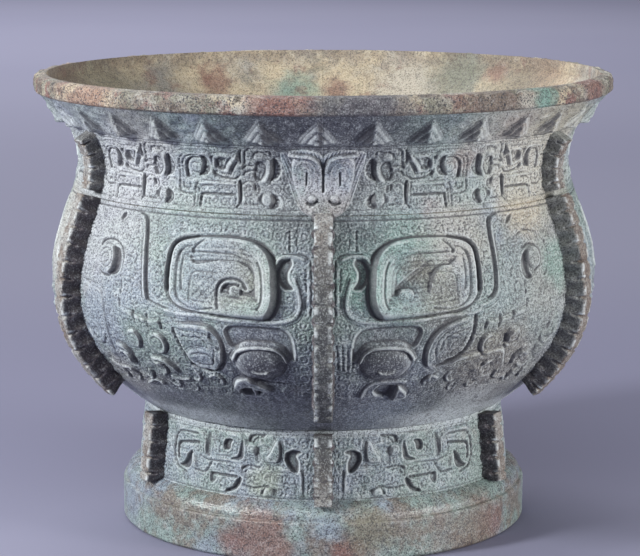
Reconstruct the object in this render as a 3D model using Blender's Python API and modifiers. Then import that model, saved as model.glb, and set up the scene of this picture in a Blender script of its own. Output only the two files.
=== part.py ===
"""A bronze gui: a handleless ritual food bowl on a ring foot, with flanges and animal heads.

All sizes are metres and +Z is up. The origin is on the table, under the middle of the foot.
The front faces -Y: an animal head on the neck, above the middle of a mask on the belly.
"""

import math

import bmesh
import bpy
from mathutils import Matrix, Vector

# Heights, stacked from the table up
BAND_HEIGHT = 0.0172
MOULDING_HEIGHT = 0.0072
FOOT_WALL_HEIGHT = 0.0291
LOWER_BELLY_HEIGHT = 0.0530
SHOULDER_HEIGHT = 0.0525
FLARE_HEIGHT = 0.0280
LIP_HEIGHT = 0.0077

# Outer radii: neck and belly follow from the rim, the bowl's lower edge from the foot
RIM_RADIUS = 0.1250
NECK_DEPTH = 0.0187
BELLY_SWELL = 0.0119
FOOT_TOP_RADIUS = 0.0782
JOINT_LEDGE = 0.0018
FOOT_LOW_RADIUS = 0.0812
BAND_RADIUS = 0.0888
NECK_RADIUS = RIM_RADIUS - NECK_DEPTH
BELLY_RADIUS = NECK_RADIUS + BELLY_SWELL
JOINT_RADIUS = FOOT_TOP_RADIUS + JOINT_LEDGE

# Walls
BOWL_WALL = 0.0045
FLOOR_THICKNESS = 0.0050
FLOOR_DISH = 0.0030
FOOT_WALL = 0.0045
BAND_WALL = 0.0068
BAND_CHAMFER = 0.0012
LIP_LAND = 0.0058
LIP_UNDERCUT = 0.0020
LIP_ROUND = 0.0012

# Fullness of the curves: how far each handle reaches from its end of the curve
FLARE_HANDLE = 0.0120
FLARE_SLOPE = math.radians(45)
NECK_HANDLE_UP = 0.0120
NECK_HANDLE_DOWN = 0.0160
BELLY_HANDLE_UP = 0.0240
BELLY_HANDLE_DOWN = 0.0220
JOINT_HANDLE = 0.0200
JOINT_SLOPE = math.radians(36)

# Flanges: how far they stand off the wall, their thickness and their notches
BELLY_FLANGE_HEIGHT = 0.0085
NECK_FLANGE_HEIGHT = 0.0066
FOOT_FLANGE_HEIGHT = 0.0078
FLANGE_THICKNESS = 0.0074
NOTCH_PITCH = 0.0080
NOTCH_WIDTH = 0.0016
NOTCH_DEPTH = 0.0014
BELLY_FLANGE_ABOVE_JOINT = 0.0150
BELLY_FLANGE_BELOW_NECK = 0.0140
NECK_FLANGE_BELOW_NECK = 0.0100
NECK_FLANGE_ABOVE_NECK = 0.0150
FOOT_FLANGE_TOP_GAP = 0.0015

# Seats: tongues let into slots of the wall behind
CLEARANCE = 0.0003
TONGUE_DEPTH = 0.0020
TONGUE_THICKNESS = 0.0040
TONGUE_END_SETBACK = 0.0040
TONGUE_ROOT = 0.0020
RING_TONGUE_SETBACK = 0.0008
RING_TONGUE_WIDTH = 0.0028

# Animal heads on the neck
HEAD_THICKNESS = 0.0042
HEAD_HEIGHT = 0.0228
HEAD_TOP_WIDTH = 0.0330
HEAD_SNOUT_WIDTH = 0.0110
HEAD_BROW_DROP = 0.0030
HEAD_EYE_SPACING = 0.0110
HEAD_EYE_RISE = 0.0075
HEAD_EYE_RADIUS = 0.0022
HEAD_TONGUE_WIDTH = 0.0080
HEAD_TONGUE_HEIGHT = 0.0120

# Relief on the walls: how deep it is set in, and the width of a band's crest against its foot
RELIEF_SINK = 0.0015
RELIEF_CREST = 0.6

# Bands of half a mask on the belly, along their middle lines: (around from the mask's middle, up the wall
# from the foot, height off the wall)
HORN_HALF_WIDTH = 0.0032
HORN_LINE = (
    (0.0510, 0.0730, 0.0007), (0.0400, 0.0720, 0.0014), (0.0310, 0.0713, 0.0024), (0.0250, 0.0718, 0.0030),
    (0.0223, 0.0750, 0.0032), (0.0214, 0.0810, 0.0032), (0.0223, 0.0875, 0.0028), (0.0252, 0.0923, 0.0022),
    (0.0300, 0.0950, 0.0016), (0.0380, 0.0963, 0.0012), (0.0460, 0.0963, 0.0010), (0.0530, 0.0956, 0.0006),
)
EDGE_HALF_WIDTH = 0.0026
BACK_LINE = (
    (0.0895, 0.1030, 0.0009), (0.0860, 0.1025, 0.0010), (0.0835, 0.0990, 0.0010), (0.0800, 0.0850, 0.0010),
    (0.0785, 0.0770, 0.0010), (0.0760, 0.0710, 0.0009), (0.0700, 0.0680, 0.0008),
)
LEAF_LINE = (
    (0.0600, 0.0608, 0.0010), (0.0530, 0.0610, 0.0012), (0.0480, 0.0600, 0.0013), (0.0452, 0.0570, 0.0013),
    (0.0446, 0.0530, 0.0013), (0.0458, 0.0490, 0.0012), (0.0490, 0.0468, 0.0010),
)
PAD_LINE = (
    (0.1150, 0.0714, 0.0010), (0.1085, 0.0708, 0.0010), (0.1052, 0.0680, 0.0010), (0.1042, 0.0620, 0.0010),
    (0.1042, 0.0520, 0.0010), (0.1060, 0.0420, 0.0009),
)
EYE_HALF_WIDTH = 0.0110
EYE_HALF_HEIGHT = 0.0085
EYE_RELIEF = 0.0036
EYE_PLACE = (0.0243, 0.0495)

# Dragons of the neck band, two to each half panel; their lines go up from the narrowest part of the neck
DRAGONS = 2
DRAGON_STEP = 0.0458
DRAGON_HALF_WIDTH = 0.0013
DRAGON_BODY = (
    (0.0595, -0.0019, 0.0006), (0.0370, -0.0020, 0.0006), (0.0357, -0.0043, 0.0006),
    (0.0355, -0.0083, 0.0006),
)
DRAGON_TAIL = (
    (0.0595, 0.0092, 0.0006), (0.0497, 0.0102, 0.0006), (0.0468, 0.0082, 0.0006), (0.0462, 0.0052, 0.0006),
    (0.0470, 0.0017, 0.0006),
)
DRAGON_HEAD_HALF_WIDTH = 0.0030
DRAGON_HEAD = ((0.0295, 0.0050, 0.0009), (0.0235, 0.0050, 0.0009))

# Blades under the lip, which do not keep to the masks' rhythm: the first stands a little left of the front
BLADES = 33
BLADE_START = -0.0020
BLADE_RIDGE = 0.0030
BLADE_PEAK = 0.0040
BLADE_SINK = 0.0010
BLADE_FOOT_GAP = 0.0006
BLADE_TIP_GAP = 0.0008
BLADE_SPREAD = 0.96

# Dragon of the ring foot: lines go up from the moulding
FOOT_BAND_HALF_WIDTH = 0.0014
FOOT_LINES = (
    ((0.0725, 0.0228, 0.0008), (0.0610, 0.0230, 0.0008), (0.0572, 0.0215, 0.0008), (0.0562, 0.0175, 0.0008)),
    ((0.0455, 0.0240, 0.0008), (0.0390, 0.0243, 0.0008), (0.0367, 0.0226, 0.0008), (0.0362, 0.0170, 0.0008)),
    ((0.0495, 0.0130, 0.0008), (0.0420, 0.0132, 0.0008), (0.0374, 0.0122, 0.0008), (0.0366, 0.0060, 0.0008)),
)

# Spacers that held the core off the mould, left in the floor
SPACER_CIRCLE_RADIUS = 0.0400
SPACER_TOP_WIDTH = 0.0090
SPACER_BOTTOM_WIDTH = 0.0070

# Counts around the vessel
SECTORS = 6
HEADS = 3
SPACERS = 3

# Facets
TURN_STEPS = 60
FLARE_SEGMENTS = 6
SHOULDER_SEGMENTS = 7
LOWER_BELLY_SEGMENTS = 8
MOULDING_SEGMENTS = 4
BALL_SEGMENTS = 10
BALL_RINGS = 6

# Levels that follow from the stacked heights
FOOT_LOW_LEVEL = BAND_HEIGHT + MOULDING_HEIGHT
FOOT_HEIGHT = FOOT_LOW_LEVEL + FOOT_WALL_HEIGHT
JOINT_LEVEL = FOOT_HEIGHT + CLEARANCE
BELLY_LEVEL = JOINT_LEVEL + LOWER_BELLY_HEIGHT
NECK_LEVEL = BELLY_LEVEL + SHOULDER_HEIGHT
LIP_LEVEL = NECK_LEVEL + FLARE_HEIGHT
RIM_LEVEL = LIP_LEVEL + LIP_HEIGHT

FRONT = math.radians(-90)
SECTOR_ANGLE = 2 * math.pi / SECTORS
WELD_DISTANCE = 1e-6
WALL_PROBE = 0.0005
WALL_AXES = Matrix(((0, 0, 1, 0), (1, 0, 0, 0), (0, 1, 0, 0), (0, 0, 0, 1)))

BOWL_COLOUR = (0.30, 0.34, 0.32, 1.0)
FOOT_COLOUR = (0.31, 0.32, 0.28, 1.0)
FLANGE_COLOUR = (0.11, 0.10, 0.10, 1.0)
HEAD_COLOUR = (0.36, 0.40, 0.38, 1.0)
SPACER_COLOUR = (0.25, 0.17, 0.09, 1.0)


def bezier(start, start_handle, end_handle, end, segments):
    """Points of a cubic curve, with both ends."""
    points = []
    for i in range(segments + 1):
        t = i / segments
        weights = ((1 - t) ** 3, 3 * t * (1 - t) ** 2, 3 * t * t * (1 - t), t ** 3)
        corners = (start, start_handle, end_handle, end)
        points.append(tuple(sum(w * c[axis] for w, c in zip(weights, corners)) for axis in (0, 1)))
    return points


def offset(line, distance):
    """A falling line of (radius, height) points moved off itself; positive is away from the axis."""
    moved = []
    for i, (radius, height) in enumerate(line):
        before = line[max(i - 1, 0)]
        after = line[min(i + 1, len(line) - 1)]
        run = math.dist(before, after)
        out = (before[1] - after[1]) / run
        up = (after[0] - before[0]) / run
        moved.append((radius + distance * out, height + distance * up))
    return moved


def point_at(line, height):
    """The point of a falling line at one height."""
    for (r0, z0), (r1, z1) in zip(line, line[1:]):
        if z1 <= height <= z0:
            share = (z0 - height) / (z0 - z1)
            return (r0 + share * (r1 - r0), height)
    raise ValueError("height is off the line")


def stretch(line, top, bottom):
    """The part of a falling line between two heights, cut exactly there."""
    inner = [point for point in line if bottom < point[1] < top]
    return [point_at(line, top)] + inner + [point_at(line, bottom)]


def along(line, distance):
    """The point at a distance along a line."""
    left = distance
    for a, b in zip(line, line[1:]):
        step = math.dist(a, b)
        if left <= step:
            share = left / step
            return tuple(p + share * (q - p) for p, q in zip(a, b))
        left -= step
    return line[-1]


def line_length(line):
    """Length of a line of points."""
    return sum(math.dist(a, b) for a, b in zip(line, line[1:]))


def slanted(point, reach, slope):
    """The point at a reach from another, up a slope."""
    return (point[0] + reach * math.cos(slope), point[1] + reach * math.sin(slope))


def belly_wall():
    """Outer face of the bowl from under the lip down to the foot."""
    lip = (RIM_RADIUS - LIP_UNDERCUT, LIP_LEVEL)
    neck = (NECK_RADIUS, NECK_LEVEL)
    belly = (BELLY_RADIUS, BELLY_LEVEL)
    joint = (JOINT_RADIUS, JOINT_LEVEL)
    flare_handle = slanted(lip, -FLARE_HANDLE, FLARE_SLOPE)
    joint_handle = slanted(joint, JOINT_HANDLE, JOINT_SLOPE)
    neck_up = (neck[0], neck[1] + NECK_HANDLE_UP)
    neck_down = (neck[0], neck[1] - NECK_HANDLE_DOWN)
    belly_up = (belly[0], belly[1] + BELLY_HANDLE_UP)
    belly_down = (belly[0], belly[1] - BELLY_HANDLE_DOWN)
    flare = bezier(lip, flare_handle, neck_up, neck, FLARE_SEGMENTS)
    shoulder = bezier(neck, neck_down, belly_up, belly, SHOULDER_SEGMENTS)
    lower = bezier(belly, belly_down, joint_handle, joint, LOWER_BELLY_SEGMENTS)
    return flare + shoulder[1:] + lower[1:]


def foot_wall():
    """Outer face of the decorated foot wall, from the top down to the moulding."""
    return [(FOOT_TOP_RADIUS, FOOT_HEIGHT), (FOOT_LOW_RADIUS, FOOT_LOW_LEVEL)]


def ring_groove():
    """Inner and outer radius of the tongue on top of the foot."""
    outer = FOOT_TOP_RADIUS - RING_TONGUE_SETBACK
    return outer - RING_TONGUE_WIDTH, outer


def bowl_profile():
    """Half section of the bowl: inner floor, up the inside, over the lip, down the outside, underside."""
    wall = belly_wall()
    inside = offset(wall, -BOWL_WALL)[::-1]
    floor_low = JOINT_LEVEL - FLOOR_DISH
    groove_in, groove_out = ring_groove()
    groove_top = JOINT_LEVEL + TONGUE_DEPTH
    lip = [
        (RIM_RADIUS - LIP_LAND, RIM_LEVEL),
        (RIM_RADIUS - LIP_ROUND, RIM_LEVEL),
        (RIM_RADIUS, RIM_LEVEL - LIP_ROUND),
        (RIM_RADIUS, LIP_LEVEL + LIP_ROUND),
    ]
    underside = [
        (groove_out + CLEARANCE, JOINT_LEVEL),
        (groove_out + CLEARANCE, groove_top),
        (groove_in - CLEARANCE, groove_top),
        (groove_in - CLEARANCE, JOINT_LEVEL),
        (FOOT_TOP_RADIUS - FOOT_WALL, JOINT_LEVEL),
        (0.0, floor_low),
    ]
    return [(0.0, floor_low + FLOOR_THICKNESS)] + inside + lip + wall + underside


def foot_profile():
    """Section of the ring foot, a closed loop that starts at the tongue and runs down the outside."""
    groove_in, groove_out = ring_groove()
    tongue_top = FOOT_HEIGHT + TONGUE_DEPTH
    inner_top = FOOT_TOP_RADIUS - FOOT_WALL
    moulding = bezier(
        (FOOT_LOW_RADIUS, FOOT_LOW_LEVEL),
        (FOOT_LOW_RADIUS, FOOT_LOW_LEVEL - MOULDING_HEIGHT / 2),
        (BAND_RADIUS, BAND_HEIGHT + MOULDING_HEIGHT / 2),
        (BAND_RADIUS, BAND_HEIGHT),
        MOULDING_SEGMENTS,
    )
    return [
        (groove_out, tongue_top),
        (groove_out, FOOT_HEIGHT),
        *foot_wall()[:1],
        *moulding,
        (BAND_RADIUS, BAND_CHAMFER),
        (BAND_RADIUS - BAND_CHAMFER, 0.0),
        (BAND_RADIUS - BAND_WALL, 0.0),
        (BAND_RADIUS - BAND_WALL, BAND_HEIGHT),
        (FOOT_LOW_RADIUS - FOOT_WALL, FOOT_LOW_LEVEL),
        (inner_top, FOOT_HEIGHT),
        (groove_in, FOOT_HEIGHT),
        (groove_in, tongue_top),
    ]


def flange_outline(wall, height):
    """A flange in its own plane: notched outer edge going down, seat against the wall coming back up."""
    tips = offset(wall, height)
    roots = offset(wall, height - NOTCH_DEPTH)
    tip_length = line_length(tips)
    root_length = line_length(roots)
    notches = max(1, round(tip_length / NOTCH_PITCH))
    edge = [tips[0]]
    for i in range(notches):
        middle = (i + 0.5) / notches
        half = NOTCH_WIDTH / 2 / tip_length
        edge.append(along(tips, (middle - half) * tip_length))
        edge.append(along(roots, (middle - half) * root_length))
        edge.append(along(roots, (middle + half) * root_length))
        edge.append(along(tips, (middle + half) * tip_length))
    edge.append(tips[-1])
    return edge + offset(wall, CLEARANCE)[::-1]


def seat_outline(wall, top, bottom, allowance):
    """A flange's tongue in its own plane, or with an allowance the slot that takes it."""
    line = stretch(wall, top - TONGUE_END_SETBACK + allowance, bottom + TONGUE_END_SETBACK - allowance)
    return offset(line, TONGUE_ROOT + allowance) + offset(line, -TONGUE_DEPTH - allowance)[::-1]


def clear_scene():
    for thing in list(bpy.data.objects):
        bpy.data.objects.remove(thing)


def new_collection(name):
    collection = bpy.data.collections.new(name)
    bpy.context.scene.collection.children.link(collection)
    return collection


def new_material(name, colour, roughness, metallic):
    material = bpy.data.materials.new(name)
    material.use_nodes = True
    shader = material.node_tree.nodes["Principled BSDF"]
    shader.inputs["Base Color"].default_value = colour
    shader.inputs["Roughness"].default_value = roughness
    shader.inputs["Metallic"].default_value = metallic
    return material


def add_mesh(name, mesh, collection, material=None):
    thing = bpy.data.objects.new(name, mesh)
    collection.objects.link(thing)
    if material:
        mesh.materials.append(material)
    else:
        thing.hide_render = True
        thing.display_type = "WIRE"
    return thing


def turned(name, profile, closed, collection, material=None):
    """A profile turned about Z by a Screw modifier."""
    mesh = bpy.data.meshes.new(name)
    edges = [(i, i + 1) for i in range(len(profile) - 1)]
    if closed:
        edges.append((len(profile) - 1, 0))
    mesh.from_pydata([(radius, 0.0, height) for radius, height in profile], edges, [])
    thing = add_mesh(name, mesh, collection, material)
    screw = thing.modifiers.new("turn", "SCREW")
    screw.axis = "Z"
    screw.steps = TURN_STEPS
    screw.render_steps = TURN_STEPS
    screw.use_merge_vertices = True
    screw.merge_threshold = WELD_DISTANCE
    screw.use_smooth_shade = True
    return thing


def curve_to_mesh(name, curve, matrix, collection, material=None):
    """A filled or bevelled curve as a welded, closed mesh object."""
    guide = bpy.data.objects.new(name + "_guide", curve)
    bpy.context.scene.collection.objects.link(guide)
    evaluated = guide.evaluated_get(bpy.context.evaluated_depsgraph_get())
    mesh = bpy.data.meshes.new_from_object(evaluated)
    bpy.data.objects.remove(guide)
    bpy.data.curves.remove(curve)
    shape = bmesh.new()
    shape.from_mesh(mesh)
    bmesh.ops.remove_doubles(shape, verts=shape.verts, dist=WELD_DISTANCE)
    bmesh.ops.recalc_face_normals(shape, faces=shape.faces)
    shape.to_mesh(mesh)
    shape.free()
    thing = add_mesh(name, mesh, collection, material)
    thing.matrix_world = matrix
    return thing


def plate(name, outline, thickness, matrix, collection, material=None):
    """A flat outline with a thickness, half to each side of its plane."""
    curve = bpy.data.curves.new(name, "CURVE")
    curve.dimensions = "2D"
    curve.fill_mode = "BOTH"
    curve.extrude = thickness / 2
    spline = curve.splines.new("POLY")
    spline.points.add(len(outline) - 1)
    for point, (x, y) in zip(spline.points, outline):
        point.co = (x, y, 0.0, 1.0)
    spline.use_cyclic_u = True
    return curve_to_mesh(name, curve, matrix, collection, material)


def boolean(thing, operation, tool):
    """A Boolean with one object, or with every object of a collection."""
    cut = thing.modifiers.new(operation.lower(), "BOOLEAN")
    cut.operation = operation
    if isinstance(tool, bpy.types.Collection):
        cut.operand_type = "COLLECTION"
        cut.collection = tool
    else:
        cut.object = tool


def upright(azimuth):
    """Places a drawing upright on the axis: its x runs outwards at the azimuth and its y runs up."""
    return Matrix.Rotation(azimuth, 4, "Z") @ Matrix.Rotation(math.pi / 2, 4, "X")


def facing(azimuth):
    """Places a drawing square to the azimuth: its x runs around the vessel and its y runs up."""
    return Matrix.Rotation(azimuth + math.pi / 2, 4, "Z") @ Matrix.Rotation(math.pi / 2, 4, "X")


def add_flange(name, wall, height, azimuth, parts, tools, slots, material):
    """A flange with its tongue, and the slot for it in the wall behind."""
    top = wall[0][1]
    bottom = wall[-1][1]
    matrix = upright(azimuth)
    flange = plate(name, flange_outline(wall, height), FLANGE_THICKNESS, matrix, parts, material)
    tongue_outline = seat_outline(wall, top, bottom, 0.0)
    tongue = plate(name + "_tongue", tongue_outline, TONGUE_THICKNESS, matrix, tools)
    boolean(flange, "UNION", tongue)
    slot_outline = seat_outline(wall, top, bottom, CLEARANCE)
    plate(name + "_slot", slot_outline, TONGUE_THICKNESS + 2 * CLEARANCE, matrix, slots)


def block(name, low, high, matrix, collection):
    """A box between two corners, in the axes of a matrix."""
    mesh = bpy.data.meshes.new(name)
    shape = bmesh.new()
    size = [b - a for a, b in zip(low, high)]
    middle = [(a + b) / 2 for a, b in zip(low, high)]
    box = Matrix.Translation(middle) @ Matrix.Diagonal((*size, 1.0))
    bmesh.ops.create_cube(shape, size=1.0, matrix=box)
    shape.to_mesh(mesh)
    shape.free()
    thing = add_mesh(name, mesh, collection)
    thing.matrix_world = matrix
    return thing


def ball(name, centre, radii, matrix, collection):
    """A ball, or with unlike radii an egg, at a centre in the axes of a matrix."""
    mesh = bpy.data.meshes.new(name)
    shape = bmesh.new()
    place = Matrix.Translation(centre) @ Matrix.Diagonal((*radii, 1.0))
    bmesh.ops.create_uvsphere(
        shape, u_segments=BALL_SEGMENTS, v_segments=BALL_RINGS, radius=1.0, matrix=place,
    )
    shape.to_mesh(mesh)
    shape.free()
    thing = add_mesh(name, mesh, collection)
    thing.matrix_world = matrix
    return thing


def head_outline(bottom):
    """Front view of an animal head: two brows with a dip between them, narrowing to a blunt snout."""
    top = bottom + HEAD_HEIGHT
    half_top = HEAD_TOP_WIDTH / 2
    half_snout = HEAD_SNOUT_WIDTH / 2
    right = [
        (half_snout, bottom + half_snout / 2),
        (half_top, top - HEAD_BROW_DROP),
        (half_top / 2, top),
        (0.0, top - HEAD_BROW_DROP),
    ]
    left = [(-x, y) for x, y in right[-2::-1]]
    return right + left + [(-half_snout / 2, bottom), (half_snout / 2, bottom)]


def add_head(name, azimuth, wall, shell, parts, tools, slots, material):
    """An animal head that hugs the neck, with eyes and a square tongue let into the wall."""
    bottom = wall[-1][1]
    matrix = facing(azimuth)
    outward = RIM_RADIUS
    outline = head_outline(bottom)
    head = plate(name, outline, 2 * outward, matrix, parts, material)
    boolean(head, "INTERSECT", shell)
    half_space = block(
        name + "_front",
        (-HEAD_TOP_WIDTH, bottom - HEAD_HEIGHT, 0.0),
        (HEAD_TOP_WIDTH, bottom + 2 * HEAD_HEIGHT, 2 * outward),
        matrix,
        tools,
    )
    boolean(head, "INTERSECT", half_space)
    eye_level = bottom + HEAD_EYE_RISE
    face = point_at(wall, eye_level)[0] + HEAD_THICKNESS
    for side, sign in (("left", -1), ("right", 1)):
        x = sign * HEAD_EYE_SPACING / 2
        z = math.sqrt(face ** 2 - x ** 2)
        eye = ball(f"{name}_{side}_eye", (x, eye_level, z), [HEAD_EYE_RADIUS] * 3, matrix, tools)
        boolean(head, "UNION", eye)
    half_width = HEAD_TONGUE_WIDTH / 2
    low = NECK_LEVEL - HEAD_TONGUE_HEIGHT / 2
    high = NECK_LEVEL + HEAD_TONGUE_HEIGHT / 2
    depth = NECK_RADIUS - TONGUE_DEPTH
    reach = NECK_RADIUS + HEAD_THICKNESS / 2
    tongue = block(name + "_tongue", (-half_width, low, depth), (half_width, high, reach), matrix, tools)
    boolean(head, "UNION", tongue)
    block(
        name + "_slot",
        (-half_width - CLEARANCE, low - CLEARANCE, depth - CLEARANCE),
        (half_width + CLEARANCE, high + CLEARANCE, reach),
        matrix,
        slots,
    )


def wall_frame(wall, radius, around, up, azimuth):
    """Axes on a wall at a distance around, met at a radius, and up: x runs around, y up, z stands off."""
    rising = wall[::-1]
    low = along(rising, up - WALL_PROBE)
    high = along(rising, up + WALL_PROBE)
    level = along(rising, up)
    slope = math.atan2(low[0] - high[0], high[1] - low[1])
    turn = Matrix.Rotation(azimuth + around / radius, 4, "Z")
    return turn @ Matrix.Translation((level[0], 0.0, level[1])) @ Matrix.Rotation(-slope, 4, "Y") @ WALL_AXES


def panel(wall, radius, azimuth, hand):
    """Gives axes on a wall by distances from a panel's middle line; hand is 1 or -1 for its two sides."""
    def frame_at(around, up):
        return wall_frame(wall, radius, hand * around, up, azimuth)

    return frame_at


def add_band(name, frame_at, line, half_width, collection):
    """A raised band that follows a line on a wall, sunk a little into it."""
    shape = bmesh.new()
    rings = []
    for i, (around, up, height) in enumerate(line):
        before = line[max(i - 1, 0)][:2]
        after = line[min(i + 1, len(line) - 1)][:2]
        run = math.dist(before, after)
        side = ((before[1] - after[1]) / run, (after[0] - before[0]) / run)
        foot = ((-1.0, -RELIEF_SINK), (1.0, -RELIEF_SINK))
        crest = ((RELIEF_CREST, height), (-RELIEF_CREST, height))
        ring = []
        for across, lift in foot + crest:
            reach = across * half_width
            frame = frame_at(around + reach * side[0], up + reach * side[1])
            ring.append(shape.verts.new(frame @ Vector((0.0, 0.0, lift))))
        rings.append(ring)
    for a, b in zip(rings, rings[1:]):
        for i in range(len(a)):
            j = (i + 1) % len(a)
            shape.faces.new((a[i], a[j], b[j], b[i]))
    shape.faces.new(rings[0])
    shape.faces.new(rings[-1])
    bmesh.ops.recalc_face_normals(shape, faces=shape.faces)
    mesh = bpy.data.meshes.new(name)
    shape.to_mesh(mesh)
    shape.free()
    return add_mesh(name, mesh, collection)


def add_half_mask(name, azimuth, hand, collection):
    """Horn, back, leaf, pad and eye of one half of a mask."""
    frame_at = panel(belly_wall(), BELLY_RADIUS, azimuth, hand)
    add_band(name + "_horn", frame_at, HORN_LINE, HORN_HALF_WIDTH, collection)
    for part, line in (("back", BACK_LINE), ("leaf", LEAF_LINE), ("pad", PAD_LINE)):
        add_band(f"{name}_{part}", frame_at, line, EDGE_HALF_WIDTH, collection)
    radii = (EYE_HALF_WIDTH, EYE_HALF_HEIGHT, EYE_RELIEF)
    ball(name + "_eye", (0.0, 0.0, 0.0), radii, frame_at(*EYE_PLACE), collection)


def add_neck_dragons(name, azimuth, hand, collection):
    """Dragons of half a neck panel, each a body, a tail and a head."""
    wall = belly_wall()
    frame_at = panel(wall, NECK_RADIUS, azimuth, hand)
    neck_up = line_length(stretch(wall, NECK_LEVEL, JOINT_LEVEL))
    forms = (
        ("body", DRAGON_BODY, DRAGON_HALF_WIDTH),
        ("tail", DRAGON_TAIL, DRAGON_HALF_WIDTH),
        ("head", DRAGON_HEAD, DRAGON_HEAD_HALF_WIDTH),
    )
    for i in range(DRAGONS):
        for part, line, half_width in forms:
            moved = [(around + i * DRAGON_STEP, up + neck_up, height) for around, up, height in line]
            add_band(f"{name}_{i + 1}_{part}", frame_at, moved, half_width, collection)


def add_blade(name, azimuth, collection):
    """An upright blade between the neck band and the lip, like a steep roof that runs out at both ends."""
    wall = belly_wall()
    frame_at = panel(wall, NECK_RADIUS, azimuth, 1)
    foot = line_length(stretch(wall, NECK_LEVEL + NECK_FLANGE_ABOVE_NECK, JOINT_LEVEL)) + BLADE_FOOT_GAP
    tip = line_length(wall) - BLADE_TIP_GAP
    half_width = BLADE_SPREAD * math.pi * NECK_RADIUS / BLADES
    corners = ((-half_width, foot, -BLADE_SINK), (half_width, foot, -BLADE_SINK), (0.0, tip, -BLADE_SINK),
               (0.0, foot + BLADE_PEAK, BLADE_RIDGE))
    shape = bmesh.new()
    for around, up, lift in corners:
        shape.verts.new(frame_at(around, up) @ Vector((0.0, 0.0, lift)))
    bmesh.ops.convex_hull(shape, input=shape.verts)
    mesh = bpy.data.meshes.new(name)
    shape.to_mesh(mesh)
    shape.free()
    return add_mesh(name, mesh, collection)


def add_foot_dragon(name, azimuth, hand, collection):
    """Bands of the dragon on half a panel of the ring foot."""
    frame_at = panel(foot_wall(), FOOT_LOW_RADIUS, azimuth, hand)
    for i, line in enumerate(FOOT_LINES):
        add_band(f"{name}_{i + 1}", frame_at, line, FOOT_BAND_HALF_WIDTH, collection)


def taper(name, bottom, top, bottom_width, top_width, place, collection, material=None):
    """A square plug, wider at its top than at its bottom."""
    mesh = bpy.data.meshes.new(name)
    shape = bmesh.new()
    corner = math.sqrt(2) / 2
    bmesh.ops.create_cone(
        shape,
        cap_ends=True,
        segments=4,
        radius1=bottom_width * corner,
        radius2=top_width * corner,
        depth=top - bottom,
        matrix=Matrix.Translation((0.0, 0.0, (top + bottom) / 2)) @ Matrix.Rotation(math.pi / 4, 4, "Z"),
    )
    shape.to_mesh(mesh)
    shape.free()
    thing = add_mesh(name, mesh, collection, material)
    thing.matrix_world = place
    return thing


def add_spacer(name, azimuth, parts, slots, material):
    """A bronze spacer as thick as the floor, and the tapered hole that it sits in."""
    joint_inside = FOOT_TOP_RADIUS - FOOT_WALL
    bottom = JOINT_LEVEL - FLOOR_DISH * (1 - SPACER_CIRCLE_RADIUS / joint_inside)
    top = bottom + FLOOR_THICKNESS
    place = Matrix.Rotation(azimuth, 4, "Z") @ Matrix.Translation((SPACER_CIRCLE_RADIUS, 0.0, 0.0))
    taper(name, bottom, top, SPACER_BOTTOM_WIDTH, SPACER_TOP_WIDTH, place, parts, material)
    spread = (SPACER_TOP_WIDTH - SPACER_BOTTOM_WIDTH) + 2 * CLEARANCE
    taper(
        name + "_hole",
        bottom - FLOOR_THICKNESS,
        top + FLOOR_THICKNESS,
        2 * SPACER_BOTTOM_WIDTH - SPACER_TOP_WIDTH + 2 * CLEARANCE,
        SPACER_TOP_WIDTH + spread,
        place,
        slots,
    )


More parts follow.
